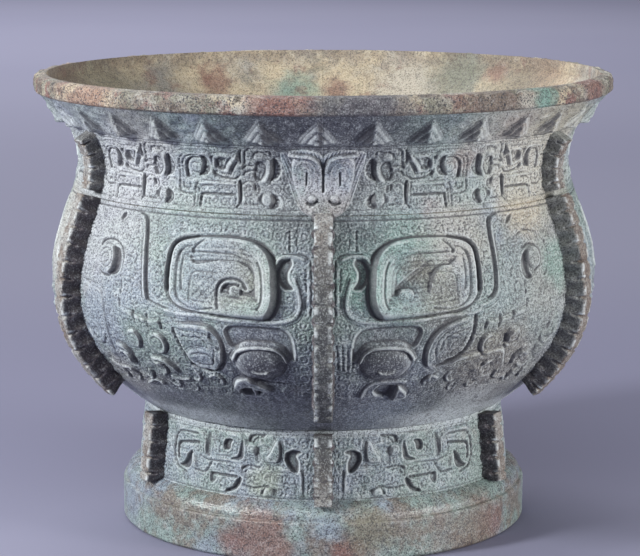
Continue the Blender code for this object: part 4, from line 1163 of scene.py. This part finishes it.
def add_foot(materials):
    """The ring foot's walls with their dragons, and its base band."""
    profile = [(BAND_RADIUS - inset, level) for inset, level in BAND_POINTS]
    band = path_rows(profile, BAND_SPACING)
    low = (FOOT_LOW_RADIUS, FOOT_LOW_LEVEL)
    moulding = path_rows(bezier(profile[-1], *MOULDING_BULGE, low, MOULDING_POINTS), MOULDING_SPACING)
    up = np.arange(0, FOOT_LINE.length[-1], GRID)
    down = np.linspace(FOOT_LINE.length[-1], 0, FOOT_INSIDE_ROWS)
    panel = Panel(columns_for(FOOT_PANEL_RADIUS), up)
    carve_foot(panel)
    inner = BAND_RADIUS - BAND_WALL
    behind = path_rows((
        (FOOT_LOW_RADIUS - FOOT_WALL, FOOT_LOW_LEVEL), (inner, BAND_HEIGHT), (inner, FOOT_INSIDE_LOW),
    ), FOOT_INSIDE_SPACING)
    rows = np.vstack([band, moulding, FOOT_LINE.rows(up), FOOT_LINE.rows(down, FOOT_WALL), behind])
    first = len(band) + len(moulding)
    kinds = np.concatenate([np.ones(first), np.zeros(len(up)), np.full(len(down) + len(behind), 2)])
    columns = len(panel.around)
    level = np.arange(first) * BAND_SPACING
    standing = smooth((rows[:first, 1] - BAND_WHOLE) / BAND_FADE)[:, None]
    for k in range(SECTORS):
        around = sector_azimuths(k, columns) * BAND_RADIUS
        plain = np.zeros((len(rows), columns))
        eaten = BAND_EATEN + layered(BAND_BUMPS, level, around, k) * border_fade(around)
        plain[:first] = -standing * eaten
        height = facing(panel.height, k)
        add_sector(FOOT_RING, k, panel, height, rows, plain, kinds, materials, first)


def add_floor(material):
    """The bowl's inner floor, a shallow dish whose edge meets the walls' inner faces."""
    rows = path_rows(FLOOR_TOP, FLOOR_SPACING)[:, :2].tolist()
    rows += path_rows(FLOOR_BOTTOM, FLOOR_SPACING)[::-1, :2].tolist()
    turns = FLOOR_TURNS
    azimuths = np.linspace(0, 2 * math.pi, turns, endpoint=False)
    vertices = []
    for radius, level in rows[1:-1]:
        for a in azimuths:
            vertices.append((radius * math.sin(a) * MM, -radius * math.cos(a) * MM, level * MM))
    faces = []
    for i in range(len(rows) - 3):
        for j in range(turns):
            after = (j + 1) % turns
            faces.append((i * turns + j, (i + 1) * turns + j, (i + 1) * turns + after, i * turns + after))
    top_ring = list(range(turns))
    bottom_ring = [(len(rows) - 3) * turns + j for j in range(turns)]
    mesh = bpy.data.meshes.new("bowl_floor")
    mesh.from_pydata(vertices, [], [*faces, top_ring, bottom_ring[::-1]])
    mesh.shade_smooth()
    mesh.materials.append(material)
    place(shown("bowl_floor", mesh), "bowl")


def flange_section():
    """Places from a flange's right foot over its face to its left foot: (across, share of height)."""
    side = [(1.0, h) for h in np.linspace(*FLANGE_SIDE)]
    face = [(x, 1.0) for x in np.linspace(*FLANGE_FACE)]
    right = side + FLANGE_CORNER + face
    return np.array(right + [(-x, h) for x, h in right[-2::-1]])


def add_flange(node, azimuth, line, sizes, seed, material):
    """A notched flange that stands on the wall."""
    low, high, height = sizes
    up = np.arange(low, high + GRID, GRID)
    rows = line.rows(np.clip(up, 0, line.length[-1]))
    rows[:, :2] += np.where(up < 0, up, 0.0)[:, None] * np.array(FOOT_LEAN)
    section = flange_section()
    across, share = section[:, 0, None], section[:, 1, None]
    beat = (up - low) / NOTCH_PITCH
    depths = np.random.default_rng(seed).uniform(*NOTCH_SPREAD, math.ceil(beat[-1]) + 1)
    off_notch = np.abs(beat % 1 - 0.5) * NOTCH_PITCH
    notch = smooth(1.3 - off_notch / NOTCH_HALF)[None, :] * depths[beat.astype(int)]
    rough = layered(FLANGE_BUMPS, np.arange(len(section)) * SECTION_SPACING, up, seed)
    outer = smooth((share - NOTCH_START) / NOTCH_FADE)
    rim = smooth((np.abs(across) - NOTCH_START) / NOTCH_FADE)
    out = share * height - notch * NOTCH_DEPTH * outer * rim + np.minimum(rough, 0.0) * outer
    swell = SCALLOP * np.cos(2 * math.pi * beat)[None, :] * (1 - outer)
    wide = across * (FLANGE_HALF - swell) * (1 - NOTCH_PINCH * notch * outer)
    wide += rough * np.sign(across) * (np.abs(across) > 0.9)
    radius = rows[:, 0] + rows[:, 2] * out
    level = rows[:, 1] + rows[:, 3] * out
    points = np.stack([radius * math.sin(azimuth) + wide * math.cos(azimuth),
                       -radius * math.cos(azimuth) + wide * math.sin(azimuth), level], axis=-1)
    # Painted highlight: a pale tick on one wall of each notch, joined to the worn corner
    off_tick = np.abs(beat % 1 - TICK_PLACE) * NOTCH_PITCH
    tick = TICK_LIGHT * smooth(1.4 - off_tick / TICK_HALF)[None, :]
    worn = smooth((share - 0.8) / 0.2) * rim * np.clip(1 - notch, 0, 1)
    painted_tick_glint = tick * smooth((share - 0.6) / 0.3) * rim
    values = {"relief": share + 0 * out, "edge": np.maximum(worn, painted_tick_glint)}
    place(tube(node + "_carved", points, values, [material]), node)


def add_head(node, azimuth, material):
    """An animal head on the neck, its edge sunk just under the wall."""
    around = np.linspace(-HEAD_HALF, HEAD_HALF, HEAD_COLUMNS)
    up = np.arange(*HEAD_ROWS)
    panel = Panel(around, up)
    carve_head(panel)
    back = up[::-HEAD_BACK_STEP]
    rows = np.vstack([BOWL_LINE.rows(up), BOWL_LINE.rows(back, HEAD_BACK)])
    lift = np.zeros((len(rows), len(around)))
    lift[:len(up)] = panel.height + layered(HEAD_BUMPS, up, around)
    marks = wear_and_shade_marks(panel.height)
    marks["front"] *= HEAD_SHADE * np.sign(around)
    marks["edge"] = np.minimum(marks["edge"], HEAD_SHINE)
    points = wrap(rows, azimuth + around / NECK_PANEL_RADIUS, lift)
    values = padded(marks, lift.shape)
    place(tube(node + "_carved", points, values, [material]), node)


class Look:
    """A procedural material, put together node by node."""

    def __init__(self, name):
        self.material = bpy.data.materials.new(name)
        self.material.use_nodes = True
        self.tree = self.material.node_tree
        self.shader = self.tree.nodes["Principled BSDF"]
        self.place = self.add("ShaderNodeTexCoord").outputs["Object"]

    def add(self, kind, links=(), **settings):
        """A new node with its settings and inputs."""
        made = self.tree.nodes.new(kind)
        for key, value in settings.items():
            setattr(made, key, value)
        for key, value in links:
            self.feed(made.inputs[key], value)
        return made

    def feed(self, socket, value):
        """Gives an input another node's output or a plain value."""
        if isinstance(value, bpy.types.NodeSocket):
            self.tree.links.new(value, socket)
        else:
            socket.default_value = value

    def noise(self, size, detail=5.0, rough=0.6, seed=0.0):
        """Random clouds with a feature size in millimetres."""
        links = (
            ("Vector", self.place), ("W", seed), ("Scale", 1 / (size * MM)), ("Detail", detail),
            ("Roughness", rough),
        )
        return self.add("ShaderNodeTexNoise", links, noise_dimensions="4D").outputs["Fac"]

    def value(self, name):
        """A mark that the mesh carries."""
        return self.add("ShaderNodeAttribute", attribute_name=name).outputs["Fac"]

    def step(self, value, low, high, most=1.0):
        """0 at low, most at high, softly between."""
        links = ((0, value), (1, low), (2, high), (3, 0.0), (4, most))
        return self.add("ShaderNodeMapRange", links, interpolation_type="SMOOTHSTEP").outputs[0]

    def math(self, operation, a, b):
        """One step of arithmetic."""
        return self.add("ShaderNodeMath", ((0, a), (1, b)), operation=operation).outputs[0]

    def mix(self, share, a, b):
        """Colour a with a share of colour b."""
        return self.add("ShaderNodeMix", ((0, share), (6, a), (7, b)), data_type="RGBA").outputs[2]

    def axis(self, name):
        """Place along one axis of the object, in metres."""
        return self.add("ShaderNodeSeparateXYZ", ((0, self.place),)).outputs[name]

    def at_level(self, *limits):
        """A step by the height on the object, in metres."""
        return self.step(self.axis("Z"), *limits)

    def cloud(self, colour, tint, clouds, *limits):
        """A colour with clouds of a tint over it."""
        return self.mix(self.step(self.noise(*clouds), *limits), colour, tint)

    def marked(self, colour, tint, mark, *limits):
        """A colour with a tint where a mark of the mesh lies past its limits."""
        return self.mix(self.step(self.value(mark), *limits), colour, tint)

    def spotted(self, colour, tints, ragged, share):
        """A colour with ragged patches of other colours over it."""
        for centre, reach, tint, seed in tints:
            patch = self.math("MULTIPLY", self.spot(centre, reach, ragged, seed), share)
            colour = self.mix(patch, colour, tint)
        return colour

    def spot(self, centre, reach, ragged=0.6, seed=0.0):
        """1 at a place on the object, fading to 0 at a reach, with a ragged edge."""
        centre = Vector(centre) * MM
        ends = ((0, self.place), (1, centre))
        gap = self.add("ShaderNodeVectorMath", ends, operation="DISTANCE").outputs["Value"]
        torn = self.math("MULTIPLY_ADD", self.noise(reach * 0.5, 4.0, 0.6, seed), ragged * reach * MM)
        self.feed(torn.node.inputs[2], gap)
        return self.step(torn, reach * MM * (1 + ragged * 0.3), reach * MM * (0.45 + ragged * 0.3))

    def finish(self, colour, roughness, bump, strength, metallic=0.0):
        """The finished material, its grain raised by a bump."""
        self.feed(self.shader.inputs["Base Color"], colour)
        self.feed(self.shader.inputs["Roughness"], roughness)
        self.feed(self.shader.inputs["Metallic"], metallic)
        links = (("Height", bump), ("Strength", strength), ("Distance", BUMP_DEPTH * MM))
        self.feed(self.shader.inputs["Normal"], self.add("ShaderNodeBump", links).outputs["Normal"])
        return self.material


SLATE = (0.255, 0.305, 0.365, 1)
SAGE = (0.23, 0.305, 0.285, 1)
WARM_GREY = (0.33, 0.32, 0.30, 1)
LILAC = (0.44, 0.44, 0.48, 1)
PALE = (0.66, 0.71, 0.72, 1)
SOOT_AND_SHADE = (0.045, 0.045, 0.055, 1)
EARTH = (0.17, 0.125, 0.095, 1)
RUST = (0.22, 0.095, 0.075, 1)
ORANGE = (0.36, 0.22, 0.15, 1)
GREEN = (0.17, 0.32, 0.27, 1)
MOSS = (0.27, 0.32, 0.20, 1)
STONE = (0.30, 0.31, 0.29, 1)
CREAM = (0.56, 0.47, 0.33, 1)
OLIVE = (0.20, 0.19, 0.14, 1)
UMBER = (0.055, 0.042, 0.046, 1)
DUSK = (0.085, 0.085, 0.11, 1)
PLUM = (0.10, 0.082, 0.092, 1)
BONE = (0.50, 0.47, 0.41, 1)
FRONT_GREY = (0.046, 0.049, 0.050, 1)
NECK_GREY = (0.19, 0.195, 0.185, 1)
GRAIN = 0.6
BUMP_DEPTH = 0.4

# Patches of other patina, with a few patches of painted shadow and painted reflection noted below: centre,
# reach, colour and seed
WALL_TINTS = (
    ((-98, -62, 150), 70, LILAC, 11.0), ((92, -66, 165), 56, CREAM, 12.0),
    ((24, -112, 132), 40, GREEN, 13.0), ((-36, -112, 124), 24, OLIVE, 14.0),
    # The dusk patch at the front under the lip is painted shadow of the lip
    ((38, -110, 126), 12, EARTH, 15.0), ((56, -92, 167), 11, RUST, 16.0), ((0, -112, 178), 72, DUSK, 17.0),
    ((80, -84, 110), 44, SAGE, 18.0), ((-24, -110, 92), 26, DUSK, 19.0), ((24, -110, 92), 26, DUSK, 20.0),
    ((76, -86, 182), 16, RUST, 27.0), ((79, -74, 152), 15, GREEN, 28.0), ((48, -108, 114), 20, OLIVE, 29.0),
    ((49, -105, 94), 22, DUSK, 31.0), ((96, -70, 120), 40, WARM_GREY, 32.0),
    ((54, -98, 138), 28, BONE, 48.0), ((70, -86, 86), 30, EARTH, 49.0), ((-112, -30, 130), 40, BONE, 50.0),
    ((-78, -76, 162), 34, LILAC, 68.0), ((84, -70, 158), 34, BONE, 69.0), ((72, -92, 180), 34, BONE, 70.0),
    # Painted shadow of the lip at the front, once more
    ((-74, -92, 180), 30, WARM_GREY, 73.0), ((0, -118, 182), 62, DUSK, 78.0),
    ((-46, -106, 128), 26, SLATE, 79.0), ((-24, -112, 86), 16, SOOT_AND_SHADE, 84.0),
    ((24, -112, 86), 16, SOOT_AND_SHADE, 85.0), ((62, -86, 82), 40, OLIVE, 86.0), ((96, -66, 122), 18, GREEN, 88.0),
    ((16, -116, 120), 16, GREEN, 89.0), ((-70, -92, 96), 24, SAGE, 90.0), ((44, -104, 152), 10, RUST, 91.0),
    ((84, -78, 148), 24, CREAM, 92.0),
)
LOW_TINTS = (
    ((76, -72, 76), 50, WARM_GREY, 37.0), ((-80, -66, 74), 22, WARM_GREY, 38.0),
    # The pale patch low on the right is a painted reflection near the foot
    ((52, -66, 58), 34, PALE, 66.0), ((22, -84, 66), 26, SLATE, 76.0),
)
LIP_TINTS = (
    ((-95, -80, 192), 34, ORANGE, 23.0), ((-16, -124, 191), 24, RUST, 24.0),
    ((18, -122, 191), 36, DUSK, 30.0), ((66, -106, 192), 30, EARTH, 25.0),
    ((88, -88, 191), 12, GREEN, 39.0), ((112, -56, 192), 22, RUST, 40.0),
)
INSIDE_TINTS = (
    ((-100, 40, 180), 75, OLIVE, 33.0), ((-14, 104, 176), 20, GREEN, 34.0), ((6, 106, 178), 12, RUST, 35.0),
    ((-114, 16, 188), 40, EARTH, 45.0), ((66, 96, 184), 24, SAGE, 46.0), ((100, 60, 184), 40, ORANGE, 47.0),
    ((62, 96, 186), 30, OLIVE, 67.0), ((96, 70, 176), 44, OLIVE, 87.0), ((40, 104, 180), 30, BONE, 63.0),
    ((82, 84, 186), 12, RUST, 64.0), ((-50, 96, 182), 16, RUST, 65.0),
)
FOOT_TINTS = (((-24, -77, 31), 14, MOSS, 74.0),)
FLANGE_TINTS = (((112, -64, 100), 90, EARTH, 58.0),)
BAND_TINTS = (
    ((-26, -84, 8), 26, RUST, 42.0), ((70, -56, 8), 20, RUST, 43.0), ((10, -88, 4), 14, RUST, 44.0),
    ((62, -64, 6), 34, EARTH, 80.0), ((20, -88, 14), 20, OLIVE, 81.0),
)


def patina(look, greener=0.0):
    """Grey-green crust that every outer face starts from."""
    colour = look.cloud(SLATE, SAGE, (30, 5.0, 0.65, 1.0), 0.38 - greener, 0.58 - greener)
    colour = look.cloud(colour, WARM_GREY, (17, 5.0, 0.65, 2.0), 0.56, 0.70, 0.55)
    return look.cloud(colour, PALE, (4.5, 4.0, 0.7, 3.0), 0.52, 0.72, 0.5)


def crust(look, colour, dark=0.8, pale=0.4):
    """Fine grain of the corroded surface: dark pores and pale specks."""
    pores = look.noise(GRAIN, 2.0, 0.6, 4.0)
    blotch = look.noise(2.3, 3.0, 0.65, 6.0)
    colour = look.mix(look.step(blotch, 0.50, 0.68, 0.5 * dark), colour, SOOT_AND_SHADE)
    colour = look.mix(look.step(blotch, 0.47, 0.32, 0.6 * pale), colour, PALE)
    colour = look.mix(look.step(pores, 0.50, 0.63, dark), colour, SOOT_AND_SHADE)
    return look.mix(look.step(pores, 0.48, 0.35, pale), colour, PALE)


def carved(look, colour):
    """Pale worn edges with painted highlight, painted light and shade on slopes, and hollows dark with dirt
    and painted shade.
    """
    # Raised edges turn pale in patches: partly wear, partly painted highlight
    raised = look.step(look.value("edge"), 0.04, 0.3, 0.45)
    patchy = look.step(look.noise(4.0, 4.0, 0.6, 5.0), 0.30, 0.62)
    colour = look.mix(look.math("MULTIPLY", raised, patchy), colour, PALE)
    # Painted light: slopes turned away from the front turn pale, as if lit from the side
    colour = look.marked(colour, PALE, "front", -0.15, -0.55, 0.3)
    # Hollows and low ground darken, partly dirt and partly painted shade; slopes facing the front get
    # painted shade
    colour = look.marked(colour, SOOT_AND_SHADE, "edge", -0.04, -0.26, 0.7)
    colour = look.marked(colour, SOOT_AND_SHADE, "relief", -0.3, -1.2, 0.6)
    return look.marked(colour, SOOT_AND_SHADE, "front", 0.10, 0.50, 0.8)


def grain(look):
    """Height of the grain, from pores to broad unevenness."""
    fine = look.math("MULTIPLY", look.noise(GRAIN, 2.0, 0.6, 4.0), -1.6)
    return look.math("ADD", fine, look.noise(5.0, 4.0, 0.6, 8.0))


def wall_look():
    """The bowl's outer face: patched patina, painted shade low down where it is also glossier, and a pale
    painted reflection by the foot.
    """
    look = Look("bowl_patina")
    colour = patina(look)
    colour = look.spotted(colour, WALL_TINTS, 0.9, 0.65)
    neck = look.math("MULTIPLY", look.at_level(0.146, 0.150), look.at_level(0.180, 0.172, 0.16))
    colour = look.mix(neck, colour, PALE)
    # Painted shade: the lower belly darkens towards the foot
    colour = look.mix(look.at_level(0.096, 0.068, 0.72), colour, DUSK)
    colour = look.spotted(colour, LOW_TINTS, 0.9, 0.5)
    # Painted reflection: a pale band at the bottom of the belly next to the foot, left out at the front
    # centre
    beside = look.math("SUBTRACT", 1.0, look.spot((0, -84, 56), 46, 0.3, 83.0))
    hollow = look.math("MULTIPLY", look.at_level(0.0640, 0.0585, 0.85), beside)
    colour = look.mix(hollow, colour, PALE)
    colour = carved(look, crust(look, colour))
    gloss = look.at_level(0.066, 0.074, 0.2)
    return look.finish(colour, look.math("ADD", gloss, 0.3), grain(look), 0.6)


def lip_look():
    """The lip: bone and olive with rust and earth."""
    look = Look("lip_patina")
    colour = look.cloud(OLIVE, BONE, (20, 5.0, 0.65, 20.0), 0.44, 0.66)
    colour = look.cloud(colour, CREAM, (17, 4.0, 0.6, 21.0), 0.50, 0.62, 0.85)
    colour = look.cloud(colour, RUST, (12, 4.0, 0.65, 22.0), 0.53, 0.62, 0.9)
    colour = look.cloud(colour, EARTH, (14, 4.0, 0.65, 26.0), 0.46, 0.58, 0.9)
    colour = look.spotted(colour, LIP_TINTS, 1.2, 0.85)
    return look.finish(crust(look, colour, 1.0, 0.2), 0.6, grain(look), 1.0)


def inside_look():
    """The inside: cream, grey and olive, earthy towards the rim."""
    look = Look("inside_patina")
    colour = look.cloud(CREAM, WARM_GREY, (40, 5.0, 0.65, 31.0), 0.46, 0.68)
    colour = look.cloud(colour, OLIVE, (21, 5.0, 0.7, 32.0), 0.54, 0.68, 0.7)
    colour = look.spotted(colour, INSIDE_TINTS, 1.1, 0.7)
    colour = look.cloud(colour, EARTH, (9, 4.0, 0.7, 36.0), 0.52, 0.66, 0.45)
    colour = look.cloud(colour, RUST, (12, 4.0, 0.7, 62.0), 0.56, 0.66, 0.5)
    patchy = look.step(look.noise(11, 4.0, 0.7, 93.0), 0.36, 0.56, 0.6)
    edge = look.math("MULTIPLY", look.at_level(0.185, 0.193), patchy)
    colour = look.mix(edge, colour, EARTH)
    return look.finish(crust(look, colour, 0.6, 0.12), 0.65, grain(look), 0.6)


def foot_look():
    """The ring foot, its top paled by a painted reflection."""
    look = Look("foot_patina")
    colour = look.spotted(patina(look), FOOT_TINTS, 0.9, 0.6)
    # Painted reflection: the top of the foot turns pale
    colour = look.mix(look.at_level(0.0495, 0.0515, 0.45), colour, PALE)
    return look.finish(carved(look, crust(look, colour)), 0.5, grain(look), 0.6)


def band_look():
    """The base band, brown and rusty, and the glossier moulding above it."""
    look = Look("band_patina")
    colour = patina(look)
    colour = look.cloud(colour, EARTH, (15, 5.0, 0.7, 41.0), 0.44, 0.60, 0.8)
    colour = look.spotted(colour, BAND_TINTS, 1.2, 0.75)
    gloss = look.at_level(0.019, 0.0165, 0.16)
    return look.finish(crust(look, colour, 0.85, 0.2), look.math("ADD", gloss, 0.24), grain(look), 0.45)


def flange_look():
    """Dark sides and a paler worn outer face with painted highlights on its notches, greyer at the front.
    """
    look = Look("flange_patina")
    side = look.cloud(UMBER, PLUM, (6, 4.0, 0.6, 51.0), 0.40, 0.68)
    side = look.mix(look.spot((105, -75, 150), 110, 0.3, 57.0), side, NECK_GREY)
    side = look.mix(look.spot((98, -58, 162), 60, 0.3, 75.0), side, STONE)
    side = look.mix(look.at_level(0.144, 0.154, 0.5), side, NECK_GREY)
    face = look.cloud(EARTH, WARM_GREY, (9, 5.0, 0.7, 52.0), 0.36, 0.60)
    face = look.spotted(face, FLANGE_TINTS, 0.3, 0.75)
    front = look.cloud(FRONT_GREY, NECK_GREY, (7, 5.0, 0.7, 55.0), 0.48, 0.70)
    face = look.mix(look.spot((0, -110, 80), 84, 0.2, 53.0), face, front)
    colour = look.marked(side, face, "relief", 0.86, 1.0)
    colour = crust(look, colour, 0.8, 0.25)
    # Worn corners and the painted highlights on the notches turn pale
    patchy = look.step(look.noise(3.0, 4.0, 0.6, 54.0), 0.44, 0.64, 0.75)
    worn = look.math("MULTIPLY", look.value("edge"), patchy)
    worn.node.use_clamp = True
    colour = look.mix(worn, colour, PALE)
    return look.finish(colour, 0.6, grain(look), 0.6)


def head_look():
    """The animal heads, lilac-grey, earthy below."""
    look = Look("head_patina")
    colour = look.cloud(patina(look, -0.06), LILAC, (9, 4.0, 0.6, 56.0), 0.40, 0.60, 0.7)
    colour = look.mix(look.at_level(0.158, 0.150, 0.5), colour, EARTH)
    return look.finish(carved(look, crust(look, colour)), 0.5, grain(look), 0.4)


def spacer_look():
    """Plain bronze of the core spacers."""
    look = Look("spacer_bronze")
    colour = look.cloud(EARTH, OLIVE, (5, 4.0, 0.6, 61.0), 0.40, 0.65)
    return look.finish(colour, 0.5, grain(look), 0.3, 0.5)


def add_vessel():
    """Every piece of the vessel with its material."""
    wall, lip, within = wall_look(), lip_look(), inside_look()
    flange, head = flange_look(), head_look()
    add_belly([wall, within])
    add_neck([wall, within, lip])
    add_foot([foot_look(), band_look(), within])
    add_floor(within)
    for i in range(SECTORS):
        azimuth = i * SECTOR_ANGLE
        add_flange(f"belly_flange_{i + 1}", azimuth, BOWL_LINE, BELLY_FLANGE, BELLY_SEED + i, flange)
        add_flange(f"foot_flange_{i + 1}", azimuth, FOOT_LINE, FOOT_FLANGE, FOOT_SEED + i, flange)
    for i in range(MASKS):
        add_head(f"animal_head_{i + 1}", 2 * i * SECTOR_ANGLE, head)
        azimuth = (2 * i + 1) * SECTOR_ANGLE
        add_flange(f"neck_flange_{i + 1}", azimuth, BOWL_LINE, NECK_FLANGE, NECK_SEED + i, flange)
    spacer = spacer_look()
    for i in range(SPACERS):
        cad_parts[f"core_spacer_{i + 1}"].data.materials[0] = spacer


# Studio, in metres and watts; its lamps are name, place, size, power, colour and aim
MIDDLE = (0.0, 0.0, 0.1)
WHITE = (1.0, 1.0, 1.0)
LAMPS = (
    ("left", (-1.08, -0.56, 0.64), 0.25, 20.5, (0.98, 0.99, 0.98), MIDDLE),
    ("right", (1.30, -0.70, 0.26), 0.45, 18.5, (1.0, 0.99, 0.96), MIDDLE),
    ("top", (-0.3, -1.0, 1.8), 1.8, 15, WHITE, MIDDLE),
    ("back", (-0.9, 3.0, 2.6), 3.0, 135, WHITE, (-0.9, 3.0, 0.0)),
)
STUDIO_CORNERS = ((-9, -4, 0), (9, -4, 0), (9, 14, 0), (-9, 14, 0))
STUDIO_LOW = (0.205, 0.205, 0.295, 1)
STUDIO_HIGH = (0.22, 0.22, 0.31, 1)
STUDIO_SHADE = (0.15, 0.15, 0.24, 1)
SKY = (0.80, 0.84, 0.95, 1)
SKY_STRENGTH = 0.15

# Camera: millimetres for its lens, metres for its place and aim
LENS = 130.7
SENSOR = 36.0
SHIFT = -0.005
CAMERA_PLACE = (0.0, -1.0076, 0.2778)
CAMERA_AIM = (0.0, 0.0, 0.1036)


def add_light(name, location, size, power, colour, aim):
    """A round soft lamp turned to its aim."""
    light = bpy.data.lights.new(name, "AREA")
    light.shape = "DISK"
    light.size = size
    light.energy = power
    light.color = colour
    thing = shown(name, light)
    thing.location = location
    thing.rotation_euler = (Vector(aim) - Vector(location)).to_track_quat("-Z", "Y").to_euler()


def add_studio_floor():
    """Pale floor with a painted shadow beside the vessel and just behind it."""
    look = Look("studio_floor")
    pale = look.cloud(STUDIO_LOW, STUDIO_HIGH, (900, 2.0, 0.5, 71.0), 0.3, 0.7)
    depth = look.axis("Y")
    # Painted shadow: the floor darkens beside the vessel and just behind it
    beside = look.math("MULTIPLY", look.step(depth, -0.12, 0.12), look.step(depth, 0.75, 0.28, 0.6))
    pale = look.mix(beside, pale, STUDIO_SHADE)
    look.finish(pale, 0.9, look.noise(2.0, 3.0, 0.6, 72.0), 0.05)
    mesh = bpy.data.meshes.new("studio_floor")
    mesh.from_pydata(STUDIO_CORNERS, [], [(0, 1, 2, 3)])
    mesh.materials.append(look.material)
    floor = shown("studio_floor", mesh)


def add_studio():
    """The floor, lamps on both sides, above and behind, and a dim sky."""
    add_studio_floor()
    for lamp in LAMPS:
        add_light(*lamp)
    world = bpy.data.worlds.new("studio")
    world.use_nodes = True
    background = world.node_tree.nodes["Background"]
    background.inputs["Color"].default_value = SKY
    background.inputs["Strength"].default_value = SKY_STRENGTH
    bpy.context.scene.world = world


def add_camera():
    """Camera at the front, a little above the vessel."""
    camera = bpy.data.cameras.new("camera")
    camera.lens = LENS
    camera.sensor_width = SENSOR
    camera.shift_x = SHIFT
    thing = shown("camera", camera)
    thing.location = CAMERA_PLACE
    aim = Vector(CAMERA_AIM) - thing.location
    thing.rotation_euler = aim.to_track_quat("-Z", "Y").to_euler()
    bpy.context.scene.camera = thing


add_vessel()
add_studio()
add_camera()
bpy.context.scene.view_settings.view_transform = "Standard"
bpy.context.view_layer.update()
